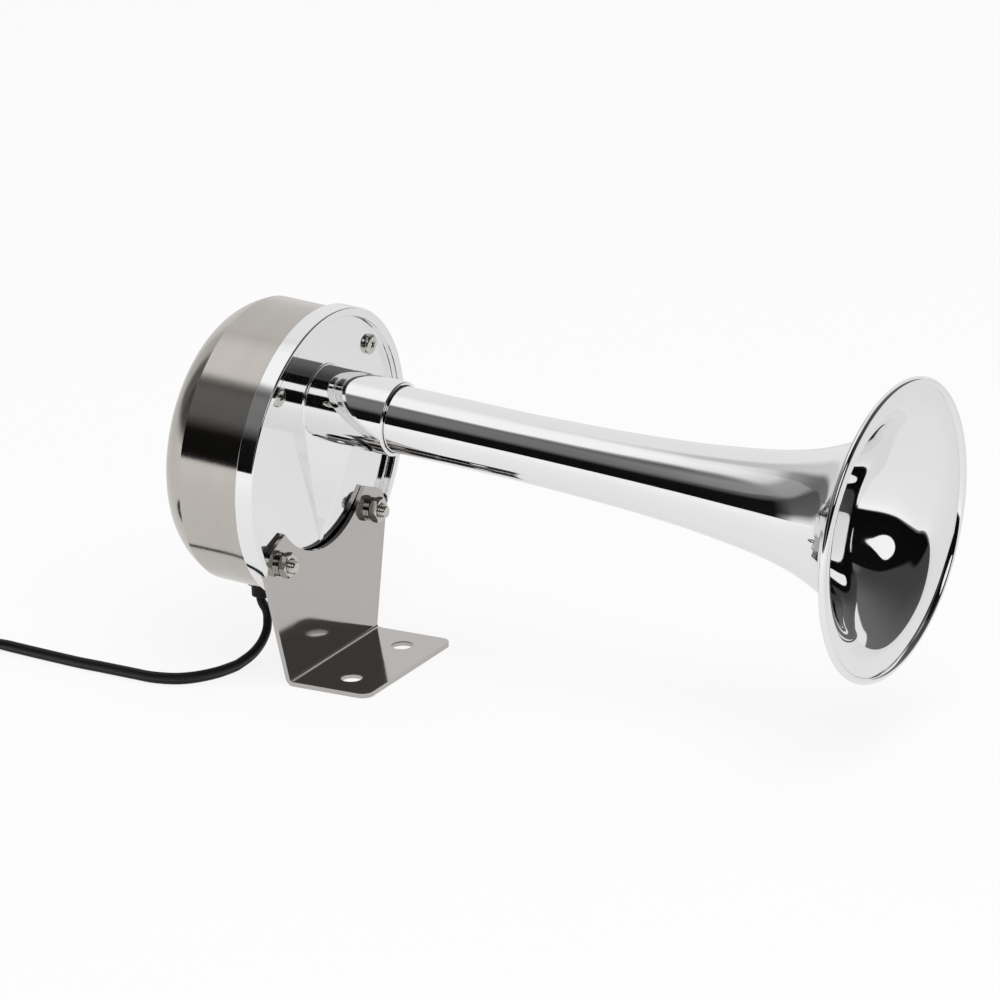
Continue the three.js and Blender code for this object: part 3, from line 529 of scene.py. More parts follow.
class Finish(Graph):
    """A principled material with its procedural detail."""

    def __init__(self, name, colour, roughness, metallic=1, others=None):
        self.material = bpy.data.materials.new(name)
        self.material.use_nodes = True
        super().__init__(self.material.node_tree)
        self.sockets = self.tree.nodes["Principled BSDF"].inputs
        self.normal = None
        values = {"Base Color": colour, "Metallic": metallic, "Roughness": roughness, **(others or {})}
        for socket, value in values.items():
            self.fill(self.sockets[socket], value)

    def place(self, scale=(1, 1, 1), matrix=level):
        """Object coordinates, turned into the given frame and scaled."""
        back = matrix.inverted()
        source = self.node("ShaderNodeTexCoord").outputs["Object"]
        turn = self.node("ShaderNodeMapping", {"Vector": source, "Rotation": back.to_euler(),
                                               "Location": back.to_translation()})
        return self.scaled(turn.outputs["Vector"], scale)

    def scaled(self, vector, scale):
        return self.node("ShaderNodeMapping", {"Vector": vector, "Scale": scale}).outputs["Vector"]

    def noise(self, vector, scale=1, detail=3, roughness=0.5):
        inputs = {"Vector": vector, "Scale": scale, "Detail": detail, "Roughness": roughness}
        return self.node("ShaderNodeTexNoise", inputs).outputs["Fac"]

    def tint(self, value, colour, low, high):
        """The colour, from low to high times its strength."""
        ends = [tuple(min(part * factor, 1) for part in colour) for factor in (low, high)]
        self.fill(self.sockets["Base Color"], self.blend(value, *ends))

    def gloss(self, value, low, high):
        self.fill(self.sockets["Roughness"], self.ranged(value, low, high, *noise_reach))

    def bump(self, value, distance, strength=1.0):
        inputs = {"Height": value, "Distance": distance, "Strength": strength}
        if self.normal:
            inputs["Normal"] = self.normal
        self.normal = self.node("ShaderNodeBump", inputs).outputs["Normal"]
        self.fill(self.sockets["Normal"], self.normal)


def chrome(name, colour, roughness, wave):
    """A mirror with a faint haze and a slow wave in its polish."""
    made = Finish(name, colour, roughness)
    made.gloss(made.noise(made.place(), chrome_haze, detail=4), roughness * 0.6, roughness * 1.6)
    made.tint(made.noise(made.place(), chrome_tone, detail=2), colour, 1, 0.97)
    made.bump(made.noise(made.place(), chrome_wave, detail=1), wave, 0.5)
    return made.material


def brushed(name, colour, roughness, depth):
    """Fine scratches drawn out along X, over broader bands."""
    made = Finish(name, colour, roughness)
    lines = made.noise(made.place(scratches), detail=4, roughness=0.65)
    made.gloss(lines, roughness * 0.7, roughness * 1.4)
    made.tint(made.noise(made.place(scratch_bands)), colour, 0.97, 1.03)
    made.bump(lines, depth, 0.6)
    # The bent sheet isn't quite flat
    made.bump(made.noise(made.place(), sheet_dents, detail=1), sheet / 3, 0.5)
    return made.material


def turned_steel(name, colour, roughness, depth):
    """Brushing that runs round the head's axis: fine along it and in radius, long in angle."""
    made = Finish(name, colour, roughness, others={"Anisotropic": 0.5, "Anisotropic Rotation": 0.25})
    tangent = made.node("ShaderNodeTangent", direction_type="RADIAL", axis="Y")
    made.fill(made.sockets["Tangent"], tangent.outputs["Tangent"])
    x, y, z = made.split(made.place(matrix=head))
    squares = made.math("ADD", made.math("MULTIPLY", x, x), made.math("MULTIPLY", y, y))
    along = made.math("ADD", z, made.math("SQRT", squares))
    unrolled = made.node("ShaderNodeCombineXYZ", {"X": made.math("ARCTAN2", y, x), "Y": along})
    unrolled = unrolled.outputs["Vector"]
    lines = made.noise(made.scaled(unrolled, turned_scratches), detail=4, roughness=0.6)
    made.gloss(lines, roughness * 0.8, roughness * 1.3)
    made.tint(made.noise(made.scaled(unrolled, turned_bands), detail=2), colour, 0.95, 1.05)
    made.bump(lines, depth, 0.6)
    return made.material


def matt(name, colour, roughness, grain=900, depth=0.00004, metallic=0, variation=0.25, specular=0.5):
    """Rubber, plastic, fibre or plated steel with a fine grain."""
    made = Finish(name, colour, roughness, metallic, {"Specular IOR Level": specular})
    grains = made.noise(made.place(), grain, detail=4)
    patches = made.noise(made.place(), grain / grains_per_patch, detail=2)
    made.tint(patches, colour, 1 - variation, 1 + variation)
    made.gloss(grains, roughness * 0.85, min(roughness * 1.2, 1))
    made.bump(grains, depth, 0.5)
    return made.material


def wound(name, colour):
    """Enamelled wire laid round the coil."""
    made = Finish(name, colour, 0.3)
    along = made.split(made.place(matrix=head))["Z"]
    made.tint(made.noise(made.place(), enamel_tone), colour, 1, 0.7)
    made.bump(made.math("SINE", made.math("MULTIPLY", along, wire_ripple)), 0.0001)
    return made.material


# By the record's material slots, with a few looks of the scene's own
chrome_colour = (chrome_grey, chrome_grey, chrome_grey + 0.005)
satin = {"depth": 0.00001, "metallic": 1, "variation": 0.1}
looks = {
    "chrome": chrome("chrome", chrome_colour, 0.035, 0.00001),
    "plate_chrome": chrome("plate_chrome", chrome_colour, 0.045, 0.00003),
    "drum_steel": turned_steel("drum_steel", (0.53, 0.5, 0.465), 0.1, 0.00001),
    "brushed": brushed("bracket_steel", (0.51, 0.49, 0.475), 0.07, 0.000005),
    "zinc": matt("zinc", (0.62, 0.6, 0.56), 0.15, grain=1500, **satin),
    "steel": matt("steel", (0.42, 0.43, 0.44), 0.35, grain=1200, **satin),
    "rubber": matt("rubber", (0.006, 0.006, 0.007), 0.55, specular=0.3),
    "lead_skin": matt("lead_skin", (0.004, 0.004, 0.0045), 0.5, grain=1400, depth=0.00002,
                      specular=0.3),
    "black_plastic": matt("black_plastic", (0.012, 0.012, 0.013), 0.45, specular=0.4),
    "fibre": matt("fibre", (0.16, 0.075, 0.035), 0.6),
    "copper": wound("copper", (0.5, 0.19, 0.07)),
    "brass": matt("brass", (0.55, 0.38, 0.14), 0.28, grain=1300, **satin),
}


def dress_nodes():
    """Every CAD node that stays gets its procedural finish."""
    for entry in frame["record"]["subparts"]:
        node = nodes[entry["node"]]
        look = looks[entry["material_slot"]]
        if not node.material_slots:
            node.data.materials.append(look)
        for slot in node.material_slots:
            slot.material = look


# Lead

def between(t, start, end, a, b):
    return (end - t) / (end - start) * a + (t - start) / (end - start) * b


def smooth_path(points):
    """A centripetal curve through the points, as a list of vectors."""
    made = []
    full = [2 * points[0] - points[1], *points, 2 * points[-1] - points[-2]]
    for i in range(1, len(full) - 2):
        p0, p1, p2, p3 = full[i - 1:i + 3]
        t0 = 0
        t1 = t0 + math.sqrt((p1 - p0).length)
        t2 = t1 + math.sqrt((p2 - p1).length)
        t3 = t2 + math.sqrt((p3 - p2).length)
        for k in range(path_steps_per_span):
            t = t1 + (t2 - t1) * k / path_steps_per_span
            a1 = between(t, t0, t1, p0, p1)
            a2 = between(t, t1, t2, p1, p2)
            a3 = between(t, t2, t3, p2, p3)
            b1 = between(t, t0, t2, a1, a2)
            b2 = between(t, t1, t3, a2, a3)
            made.append(between(t, t1, t2, b1, b2))
    made.append(points[-1].copy())
    return made


def lead_points():
    """Down from the grommet and along the floor."""
    drop = grommet_mouth.z - lead_level
    points = [Vector((grommet_mouth.x + x, grommet_mouth.y + y, lead_level + share * drop))
              for x, y, share in lead_hang]
    return points + [Vector((x, y, lead_level)) for x, y in lead_floor]


def coil_points():
    """A flat coil that turns in to the connector at its middle."""
    points = []
    centre = coil_centre + Vector((0, 0, lead_level))
    for i in range(round(coil_turns * coil_loop_steps) + 1):
        turn = full_turn * i / coil_loop_steps
        wound_in = max(i / coil_loop_steps - coil_lead_in_share, 0)
        radius = coil_outer_radius - coil_pitch * wound_in
        points.append(centre + radius * Vector((math.cos(turn), math.sin(turn), 0)))
    end = full_turn * coil_turns
    centre = points[-1] - coil_tail_radius * Vector((math.cos(end), math.sin(end), 0))
    last = half_turn * (2 * math.floor(coil_turns) + 1)
    for i in range(1, coil_tail_steps + 1):
        turn = end + (last - end) * i / coil_tail_steps
        points.append(centre + coil_tail_radius * Vector((math.cos(turn), math.sin(turn), 0)))
    points.append(points[-1] - Vector((0, coil_end_straight, 0)))
    return points


def twin_section():
    """Two round cores side by side with a shallow groove between them."""
    core = lead_thickness / 2
    reach = lead_width / 2 - core
    waist = math.acos(min(reach / core * lead_groove_share, 1))
    right = arc(reach, 0, core, waist - half_turn, half_turn - waist, lead_steps)
    left = arc(-reach, 0, core, waist, full_turn - waist, lead_steps)
    return right + left


def lead_frames(path):
    """The twin's wide side at each point: carried along without twist, then laid flat for the coil."""
    sides = []
    side = lead_first_side
    laid = 0
    for i, point in enumerate(path):
        ahead = (path[min(i + 1, len(path) - 1)] - path[max(i - 1, 0)]).normalized()
        side = (side - side.dot(ahead) * ahead).normalized()
        laid = max(laid, min((point.y - lead_flat_from) / lead_flat_run, 1))
        flat = ahead.cross(Vector((0, 0, 1))).normalized()
        if flat.dot(side) < 0:
            flat = -flat
        shown = ((1 - laid) * side + laid * flat).normalized()
        if laid == 1:
            side = flat
        sides.append((shown, shown.cross(ahead).normalized()))
    return sides


def make_lead():
    path = smooth_path(lead_points() + coil_points())
    section = twin_section()
    rings = []
    core = lead_thickness / 2
    for point, (side, up) in zip(path, lead_frames(path)):
        # On the floor the twin rests on it, however it is turned
        rest = core + (lead_width / 2 - core) * abs(side.z)
        if point.z < max(rest, lead_level * lead_level_reach):
            point.z = rest
        rings.append([point + x * side + y * up for x, y in section])
    piece = loft("twin_lead", rings, look="lead_skin", capped=True)
    fit_to_horn(piece, "black_plastic", "lead_run", "lead_coil", weighted=False)
    make_grommet()
    make_connector()


def make_connector():
    """The lead's two-pin plug, with finger ribs across its back and a neck where the lead enters."""
    low, high = [Vector(corner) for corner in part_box("lead_connector")]
    middle = (low.x + high.x) / 2
    top = low.z + connector_height
    neck_start = high.y - neck_length
    piece = brick("connector_shell", low, (high.x, neck_start, top), look="black_plastic")
    width = (high.x - low.x) * neck_half_share
    neck = brick("neck", (middle - width, neck_start - neck_overlap, low.z + neck_lift),
                 (middle + width, high.y, low.z + connector_height * neck_height_share))
    combine(piece, [neck], "UNION")
    pitch = (neck_start - low.y) / (2 * connector_rib_count + 1)
    cuts = []
    for i in range(connector_rib_count):
        start = low.y + pitch * (2 * i + 1)
        cuts.append(brick("groove", (low.x + connector_rib_inset, start, top - connector_rib_depth),
                          (high.x - connector_rib_inset, start + pitch, top + connector_height)))
    for pin in ("connector_pin_1", "connector_pin_2"):
        pin_low, pin_high = [Vector(corner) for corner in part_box(pin)]
        gap = Vector((seat_gap, seat_gap, seat_gap))
        cuts.append(brick("mouth", pin_low - gap - Vector((0, pin_mouth_depth, 0)), pin_high + gap))
    combine(piece, cuts, "DIFFERENCE")
    round_edges(piece, connector_edge_round)
    fit_to_horn(piece, "black_plastic", "lead_connector")
    return piece


def make_grommet():
    """A round boot whose flange sits on the drum and whose nose holds the lead."""
    flange_top = drum_radius + grommet_flange_height
    tip = drum_radius + seat_gap + grommet_flange_height + grommet_nose_length
    root, wall, seat = [drum_radius - depth for depth in (grommet_root_depth, drum_wall, grommet_sink)]
    r = grommet_edge_round
    profile = [(0, root), (grommet_flange_radius, root), (grommet_flange_radius, wall),
               (grommet_neck_radius, wall), (grommet_neck_radius, seat), (grommet_flange_radius, seat)]
    profile += arc(grommet_flange_radius - r, flange_top - r, r, 0, quarter_turn, 4)
    profile += arc(grommet_neck_radius + r, flange_top + r, r, -quarter_turn, -half_turn, 4)
    profile += arc(grommet_nose_radius - r / 2, tip - r / 2, r / 2, 0, quarter_turn, 4)
    profile += [(grommet_recess_radius, tip), (grommet_recess_radius, tip - grommet_recess_depth),
                (0, tip - grommet_recess_depth)]
    place = head @ Matrix.Translation((0, 0, -grommet_back))
    place = place @ Matrix.Rotation(grommet_angle - quarter_turn, 4, "Z")
    place = place @ Matrix.Rotation(-quarter_turn, 4, "X")
    piece = lathe("grommet_boot", profile, place, fine_steps, "rubber")
    fit_to_horn(piece, "rubber", "grommet")
    return piece


# Trumpet

def monotone(xs, ys, x):
    """A smooth curve through the table that never overshoots it."""
    count = len(xs)
    steps = [(ys[i + 1] - ys[i]) / (xs[i + 1] - xs[i]) for i in range(count - 1)]
    slopes = [steps[0]]
    for a, b in zip(steps, steps[1:]):
        slopes.append(0 if a * b <= 0 else 2 * a * b / (a + b))
    slopes.append(steps[-1] * mouth_slope_gain)
    i = min(max(sum(1 for value in xs if value <= x) - 1, 0), count - 2)
    h = xs[i + 1] - xs[i]
    t = (x - xs[i]) / h
    return (ys[i] * (1 + 2 * t) * (1 - t) ** 2 + h * slopes[i] * t * (1 - t) ** 2
            + ys[i + 1] * t * t * (3 - 2 * t) + h * slopes[i + 1] * t * t * (t - 1))


def bell_profile():
    bead_low = mouth_distance - 2 * bead_radius
    xs = [tube_start, mouth_distance * flare_start_share]
    ys = [tube_radius, tube_radius]
    xs += [mouth_distance * share for share in bell_distance_shares]
    ys += [mouth_radius * share for share in bell_radius_shares]
    xs.append(bead_low)
    ys.append(mouth_radius - bead_radius)
    outer = []
    for i in range(bell_samples + 1):
        # The samples crowd together towards the mouth
        share = 1 - (1 - i / bell_samples) ** bell_crowding
        x = tube_start + (bead_low - tube_start) * share
        outer.append((monotone(xs, ys, x), x))
    bead = arc(mouth_radius - bead_radius, mouth_distance - bead_radius, bead_radius, -quarter_turn,
               bead_turn, bead_steps)
    inner = []
    for i in range(len(outer) - 1, -1, -1):
        before = outer[max(i - 1, 0)]
        after = outer[min(i + 1, len(outer) - 1)]
        slope = math.atan2(after[0] - before[0], after[1] - before[1])
        r, z = outer[i]
        inner.append((r - bell_wall * math.cos(slope), z + bell_wall * math.sin(slope)))
    inner = [(r, z) for r, z in inner if z > tube_start and r < mouth_radius - 2 * bead_radius]
    return outer + bead[1:] + inner + [(tube_radius - bell_wall, tube_start)]


def make_trumpet():
    piece = lathe("trumpet_shell", bell_profile(), on_axis, look="chrome", closed=True)
    fit_to_horn(piece, "chrome", "trumpet", weighted=False)


# Where the web stands

bend_outer = bend_radius + sheet
bend_y = foot_depth / 2 - bend_outer


def web_front_at(height):
    return bend_y + bend_radius / math.cos(web_lean) + (height - bend_outer) * math.tan(web_lean)


def on_web(rise, x=0):
    """A frame whose z points out of the web's front and whose y goes up the web."""
    foot = Vector((x, web_front_at(0) + rise * math.sin(web_lean), rise * math.cos(web_lean)))
    return Matrix.Translation(foot) @ Matrix.Rotation(quarter_turn - web_lean, 4, "X")


def web_outline(margin=0.0):
    """The web in its own plane, grown all round by a margin."""
    r = ear_corner_radius + margin
    corner_x = ear_half_width - ear_corner_radius
    corner_z = plate_height - ear_corner_drop
    scoop = scoop_radius - margin
    edge = math.asin((ear_top_drop - margin) / scoop)
    outline = [(-foot_half_width - margin, bend_radius), (foot_half_width + margin, bend_radius)]
    outline += arc(corner_x, corner_z, r, 0, quarter_turn - ear_top_slope)
    outline += arc(0, plate_height, scoop, -edge, edge - half_turn, scoop_steps)
    outline += arc(-corner_x, corner_z, r, quarter_turn + ear_top_slope, half_turn)
    return outline


def web_crossing(y):
    """How far along the head's z a line at the given head y meets the front of the web."""
    start_y = plate_centre.y - y * math.sin(nose_down)
    start_z = plate_height + y * math.cos(nose_down)
    return (start_y - web_front_at(start_z)) / (
        math.cos(nose_down) - math.sin(nose_down) * math.tan(web_lean))


# Front plate

def plate_profile():
    inner = plate_radius - lip_width
    r = lip_round
    points = [(0, face_z), (inner * 0.5, face_z), (inner - 2 * r, face_z)]
    points += arc(inner - r, face_z + r, r, -quarter_turn, 0, 5)
    points += arc(inner + r, -r, r, half_turn, quarter_turn, 5)
    points += arc(plate_radius - r, -r, r, quarter_turn, 0, 6)
    points += arc(plate_radius - r / 2, -rim_depth + r / 2, r / 2, 0, -quarter_turn, 3)
    points += [(skirt_radius, -rim_depth), (skirt_radius, plate_rear_z), (0, plate_rear_z)]
    return points


def rib(root):
    """A pyramid under the socket whose ridge climbs from the plate to the tube."""
    run = axis_rise + rib_foot_drop
    lean = math.asin(socket_radius / run)
    x, y = socket_radius * math.cos(lean), axis_rise - socket_radius * math.sin(lean)
    ridge_z = face_z + rib_rise_share * (y + rib_foot_drop)
    verts = [(0, -rib_foot_drop, face_z), (x, y, face_z), (-x, y, face_z), (0, y, ridge_z),
             (0, -rib_foot_drop, root), (x, y, root), (-x, y, root)]
    faces = [(0, 1, 3), (0, 3, 2), (1, 2, 3), (4, 6, 5), (0, 4, 5, 1), (1, 5, 6, 2), (2, 6, 4, 0)]
    return new_object("rib", verts, faces, head)


def stud_places():
    """The four fasteners: two upper screws, then the two lower studs."""
    return [polar(stud_circle_radius, angle) for angle in stud_angles]


def make_plate():
    piece = lathe("plate_casting", plate_profile(), look="plate_chrome")
    root = face_z - plate_thickness / 2
    bosses = [cylinder("boss", seat_boss_radius, root, 0, head @ Matrix.Translation((x, y, 0)),
                       fine_steps) for x, y in stud_places()[2:]]
    combine(piece, bosses, "UNION")
    # The lip and the lower bosses are planed level where the bracket seats
    combine(piece, [prism("seat", web_outline(seat_gap), -sheet - seat_gap, foot_depth, on_web(0))],
            "DIFFERENCE")
    fillet = arc(socket_radius + socket_fillet, face_z + socket_fillet, socket_fillet, -quarter_turn,
                 -half_turn, 5)
    rim = arc(socket_radius - lip_round, socket_length - lip_round, lip_round, 0, quarter_turn, 5)
    socket = lathe("socket", [(0, root), (socket_radius + socket_fillet, root)] + fillet + rim
                   + [(0, socket_length)], on_axis)
    combine(piece, [socket, rib(root)], "UNION")
    bore = cylinder("bore", socket_radius - socket_wall, socket_shoulder, socket_length * 2, on_axis)
    throat = cylinder("throat", throat_radius, plate_rear_z * 2, socket_shoulder * 2, on_axis)
    combine(piece, [bore, throat], "DIFFERENCE")
    merge_level_faces(piece)
    fit_to_horn(piece, "chrome", "front_plate")


# Drum

def drum_profile(inset=0.0):
    """The wall, a crease, the shoulder that rounds over to the rear, and the low dome."""
    radius = drum_radius - inset
    points = [(radius, drum_front), (radius, (drum_front + drum_straight_end) / 2),
              (radius, drum_straight_end)]
    for i in range(1, shoulder_steps + 1):
        angle = shoulder_start + (quarter_turn - shoulder_start) * i / shoulder_steps
        fall = (math.sin(angle) - math.sin(shoulder_start)) / (1 - math.sin(shoulder_start))
        reach = (radius - shoulder_radius) * math.cos(angle) / math.cos(shoulder_start)
        points.append((shoulder_radius + reach, drum_straight_end - (shoulder_depth - inset) * fall))
    for i in range(1, dome_steps + 1):
        r = shoulder_radius + (cover_hole_radius - shoulder_radius) * i / dome_steps
        points.append((r, drum_straight_end - shoulder_depth + inset
                       - dome_rise * (1 - (r / shoulder_radius) ** 2)))
    return points


def make_drum():
    profile = drum_profile() + drum_profile(drum_wall)[::-1]
    piece = lathe("drum_shell", profile, look="drum_steel", closed=True)
    half = vent_length / 2 - vent_width / 2
    outline = arc(half, 0, vent_width / 2, -quarter_turn, quarter_turn)
    outline += arc(-half, 0, vent_width / 2, quarter_turn, quarter_turn + half_turn)
    # The slots' long sides run round the drum, and they are cut outwards through the shoulder
    vent_z = drum_straight_end - shoulder_depth + vent_width
    outwards = Matrix(((0, 0, 1, 0), (1, 0, 0, 0), (0, 1, 0, vent_z), (0, 0, 0, 1)))
    slots = [prism("vent", outline, drum_radius - shoulder_depth, drum_radius + shoulder_depth,
                   head @ Matrix.Rotation(angle, 4, "Z") @ outwards) for angle in vent_angles]
    combine(piece, slots, "DIFFERENCE")
    fit_to_horn(piece, "brushed", "motor_cover", crease=drum_crease, weighted=False)


# Bracket

def make_bracket():
    """An angle with a level foot and a web, whose two ears stand either side of a round scoop."""
    front = -foot_depth / 2
    behind = sheet / math.cos(web_lean)
    profile = [(web_front_at(plate_height) + behind, plate_height)]
    profile += arc(bend_y, bend_outer, bend_outer, -web_lean, -quarter_turn, bend_steps)
    profile += [(front, 0), (front, sheet)]
    profile += arc(bend_y, bend_outer, bend_radius, -quarter_turn, -web_lean, bend_steps)
    profile += [(web_front_at(plate_height), plate_height)]
    along_x = Matrix(((0, 0, 1, 0), (1, 0, 0, 0), (0, 1, 0, 0), (0, 0, 0, 1)))
    wide = ear_half_width * stock_share
    piece = prism("bracket_sheet", profile, -wide, wide, along_x, "brushed")
    web = prism("web", web_outline(), -2 * sheet, sheet, on_web(0))
    c = foot_corner_radius
    outline = [(foot_half_width, foot_depth / 2 + sheet), (-foot_half_width, foot_depth / 2 + sheet)]
    outline += arc(c - foot_half_width, front + c, c, half_turn, 1.5 * half_turn)
    outline += arc(foot_half_width - c, front + c, c, 1.5 * half_turn, full_turn)
    foot = prism("foot", outline, -sheet, bend_outer + sheet / 2)
    combine(web, [foot], "UNION")
    combine(piece, [web], "INTERSECT")
    holes = [cylinder("hole", foot_hole_radius, -sheet, 2 * sheet,
                      Matrix.Translation((side * foot_hole_half_pitch, foot_hole_y, 0)), fine_steps * 2)
             for side in (-1, 1)]
    combine(piece, holes, "DIFFERENCE")
    round_edges(piece, sheet_edge_round)
    fit_to_horn(piece, "brushed", "bracket")


# Fasteners

def threaded_rod(name, rear, thread_start, tip, matrix):
    """A rod along z with a helical thread from one level to its chamfered tip."""
    step = thread_pitch / thread_rows
    count = round((tip - thread_start) / step)
    rings = [[(0, 0, rear)]]
    for z in [rear] + [thread_start + (tip - thread_start) * i / count for i in range(count + 1)]:
        ring = []
        for i in range(fine_steps):
            turn = i / fine_steps
            wave = abs(2 * ((z / thread_pitch - turn) % 1) - 1) if z > thread_start else 0
            radius = min(stud_radius - thread_depth * wave, stud_radius - tip_chamfer + tip - z)
            ring.append((*polar(radius, full_turn * turn), z))
        rings.append(ring)
    rings.append([(0, 0, tip)])
    return loft(name, rings, matrix, "zinc")


def hex_nut(name, matrix):
    """A hexagon with both its faces chamfered and its bore flared."""
    inner = nut_across_flats / 2
    corner = inner / math.cos(half_turn / 6)
    outline = [polar(corner, full_turn * i / 6) for i in range(6)]
    piece = prism(name, outline, nut_low, nut_high, matrix, "zinc")
    wide = corner + nut_chamfer
    face = inner * nut_face_share
    limits = [(0, nut_low), (face, nut_low), (wide, nut_low + 2 * nut_chamfer),
              (wide, nut_high - 2 * nut_chamfer), (face, nut_high), (0, nut_high)]
    combine(piece, [lathe("limits", limits, matrix, fine_steps)], "INTERSECT")
    flare = nut_bore_flare
    bore = [(0, 0), (stud_radius, 0), (stud_radius, nut_high - flare), (stud_radius + flare, nut_high),
            (stud_radius + flare, nut_high * 2), (0, nut_high * 2)]
    combine(piece, [lathe("bore", bore, matrix, fine_steps)], "DIFFERENCE")
    return piece


def spring_washer(name, matrix):
    """A split ring whose ends stand a little apart."""
    rings = []
    span = full_turn - 2 * washer_half_gap
    for i in range(fine_steps + 1):
        share = i / fine_steps
        angle = washer_gap_turn + washer_half_gap + span * share
        low = washer_spring * share
        high = nut_low - washer_spring * (1 - share)
        rings.append([(*polar(r, angle), z) for r, z in (
            (washer_inner, low), (washer_outer, low), (washer_outer, high), (washer_inner, high))])
    return loft(name, rings, matrix, "zinc", capped=True)


def cross_head_screw(name, matrix):
    """A pan head with a cross recess."""
    edge = screw_head_edge
    top = face_z + screw_head_height
    profile = [(0, face_z), (screw_head_radius, face_z), (screw_head_radius, top - edge)]
    profile += arc(screw_head_radius - edge, top - edge, edge, 0, quarter_turn, 6)[1:]
    profile += [(0, top + screw_head_crown)]
    piece = lathe(name, profile, matrix, fine_steps, "zinc")
    arms = []
    cross = (recess_half_length, recess_half_width)
    for wide, deep in (cross, cross[::-1]):
        rings = [[(-x, -y, z), (x, -y, z), (x, y, z), (-x, y, z)] for x, y, z in (
            (wide * recess_taper, deep * recess_taper, top - recess_depth), (wide, deep, top + edge))]
        arms.append(loft("arm", rings, matrix @ Matrix.Rotation(recess_turn, 4, "Z"), capped=True))
    combine(piece, arms, "DIFFERENCE")
    return piece


def make_fasteners():
    for number, (x, y) in enumerate(stud_places(), 1):
        place = head @ Matrix.Translation((x, y, 0))
        if y > 0:
            piece = cross_head_screw(f"screw_head_{number}", place)
            fit_to_horn(piece, "zinc", f"plate_screw_{number}")
            continue
        crossing = web_crossing(y)
        rise = (place @ Vector((0, 0, crossing))).z / math.cos(web_lean)
        seat = on_web(rise, x)
        rod = threaded_rod(f"threaded_stud_{number}", stud_rear, crossing,
                           crossing + stud_beyond_web, place)
        nut = hex_nut(f"hex_nut_{number}", seat)
        washer = spring_washer(f"spring_washer_{number}", seat)
        for piece, node in ((rod, "stud"), (nut, "nut"), (washer, "lock_washer")):
            fit_to_horn(piece, "zinc", f"{node}_{number}", weighted=piece is nut)


def make_cover_fixing():
    """A slotted round head on a rubber washer, in the middle of the drum's rear."""
    edge = cover_head_edge
    profile = [(0, cover_washer_rear), (cover_head_radius, cover_washer_rear)]
    profile += arc(cover_head_radius - edge, cover_head_rear + edge, edge, 0, -quarter_turn, 6)
    profile += [(0, cover_head_rear - cover_head_crown)]
    piece = lathe("cover_screw_head", profile, head, fine_steps * 2, "zinc")
    slot = brick("slot", (-2 * cover_head_radius, -cover_slot_half_width, 2 * cover_head_rear),
                 (2 * cover_head_radius, cover_slot_half_width, cover_head_rear + cover_slot_depth),
                 head @ Matrix.Rotation(cover_slot_turn, 4, "Z"))
    combine(piece, [slot], "DIFFERENCE")
    fit_to_horn(piece, "zinc", "cover_screw")
    r = (cover_washer_front - cover_washer_rear) / 2
    profile = [(0, cover_washer_front)]
    profile += arc(cover_washer_radius - r, cover_washer_rear + r, r, quarter_turn, -quarter_turn, 8)
    profile += [(0, cover_washer_rear)]
    piece = lathe("cover_washer_ring", profile, head, fine_steps * 2, "rubber")
    fit_to_horn(piece, "rubber", "cover_washer")


# Stage

def emptied(block):
    """A graph on the nodes of a material or the world, without the default ones."""
    block.use_nodes = True
    block.node_tree.nodes.clear()
    return Graph(block.node_tree)


def linear(shown):
    """The light that chrome shows as the given grey, by the standard display curve."""
    plain = shown / 12.92 if shown < 0.04 else ((shown + 0.055) / 1.055) ** 2.4
    return min(plain / chrome_grey, 1)


def studio(graph):
    """The grey that a direction shows."""
    x, y, z = graph.split(graph.node("ShaderNodeTexCoord").outputs["Generated"])
    azimuth = graph.math("DEGREES", graph.math("ARCTAN2", x, graph.math("MULTIPLY", y, -1)))
    elevation = graph.math("DEGREES", graph.math("ARCSINE", z))
    height = graph.ranged(elevation, 0, 1, -90, 90)
    grey = None
    for start, soft, stops in sectors:
        here = graph.ramp(height, [((angle + 90) / 180, linear(shown)) for angle, shown in stops])
        if grey is None:
            grey = here
            continue
        share = graph.ranged(azimuth, 0, 1, start - soft / 2, start + soft / 2, "SMOOTHSTEP")
        grey = graph.blend(share, grey, here)
    away = 0
    for value, centre, half in zip((azimuth, elevation), softbox_centre, softbox_half):
        share = graph.math("DIVIDE", graph.math("SUBTRACT", value, centre), half)
        share = graph.math("ABSOLUTE", share)
        away = graph.math("ADD", away, graph.math("POWER", share, softbox_squareness))
    box = graph.ranged(away, 1, 0, 1 - softbox_edge, 1, "SMOOTHSTEP")
    return graph.blend(box, grey, (1, 1, 1))


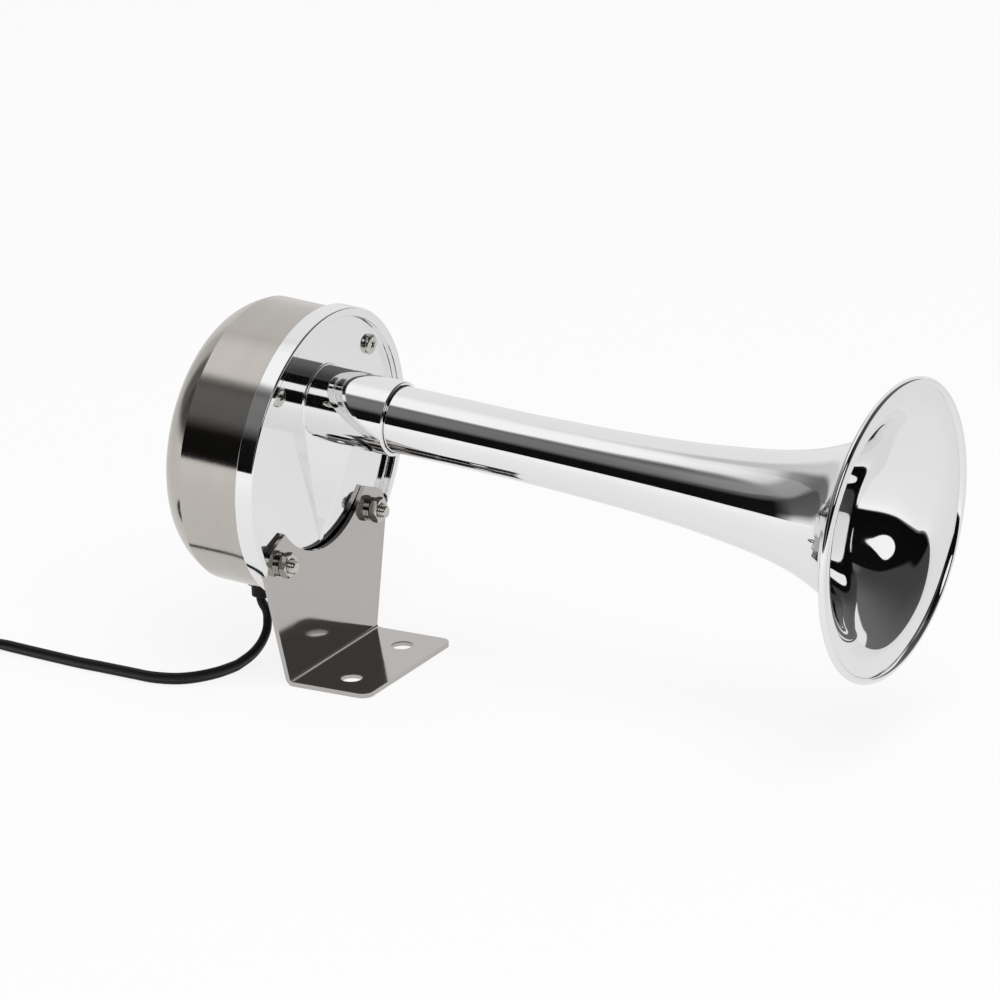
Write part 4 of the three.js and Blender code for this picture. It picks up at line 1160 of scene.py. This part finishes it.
def make_world():
    """White to the lens, the studio to polished metal, and an even fill to everything else."""
    world = bpy.data.worlds.new("studio")
    bpy.context.scene.world = world
    graph = emptied(world)
    path = graph.node("ShaderNodeLightPath").outputs
    fill, mirrored, white = [graph.node("ShaderNodeBackground", inputs).outputs[0] for inputs in (
        {"Strength": fill_strength}, {"Color": studio(graph)}, {"Color": (1, 1, 1)})]
    lit = graph.mix(path["Is Glossy Ray"], fill, mirrored)
    graph.node("ShaderNodeOutputWorld", {0: graph.mix(path["Is Camera Ray"], lit, white)})


def make_floor():
    """A table that keeps the shadow, shows white to the lens and a slow gradient in the chrome."""
    size = floor_half_size
    corners = [(-size, -size, 0), (size, -size, 0), (size, size, 0), (-size, size, 0)]
    piece = new_object("floor", corners, [(0, 1, 2, 3)])
    material = bpy.data.materials.new("floor_white")
    graph = emptied(material)
    path = graph.node("ShaderNodeLightPath").outputs
    x = graph.split(graph.node("ShaderNodeTexCoord").outputs["Object"])["X"]
    (left, left_grey), (right, right_grey) = floor_in_chrome
    mirrored = graph.ranged(x, linear(left_grey), linear(right_grey), left, right)
    glow = graph.blend(path["Is Glossy Ray"], (1, 1, 1), mirrored)
    white = graph.node("ShaderNodeEmission", {"Color": glow}).outputs[0]
    soft = graph.node("ShaderNodeBsdfDiffuse", {"Color": [floor_white] * 3}).outputs[0]
    seen = graph.math("MAXIMUM", path["Is Camera Ray"], path["Is Glossy Ray"])
    share = graph.math("MULTIPLY", seen, floor_share)
    graph.node("ShaderNodeOutputMaterial", {0: graph.mix(share, soft, white)})
    piece.data.materials.append(material)


def make_lamp():
    """A softbox above, on the side of the camera, for the shadows."""
    data = bpy.data.lights.new("softbox", "AREA")
    data.energy = lamp_energy
    data.size = lamp_size
    lamp = bpy.data.objects.new("softbox", data)
    lamp.location = lamp_place
    lamp.rotation_euler = (-lamp.location).to_track_quat("-Z", "Y").to_euler()
    lamp.visible_glossy = False
    bpy.context.scene.collection.objects.link(lamp)


make_camera()
dress_nodes()
make_lead()
make_trumpet()
make_plate()
make_drum()
make_bracket()
make_fasteners()
make_cover_fixing()
make_floor()
make_world()
make_lamp()
bpy.context.scene.view_settings.view_transform = "Standard"
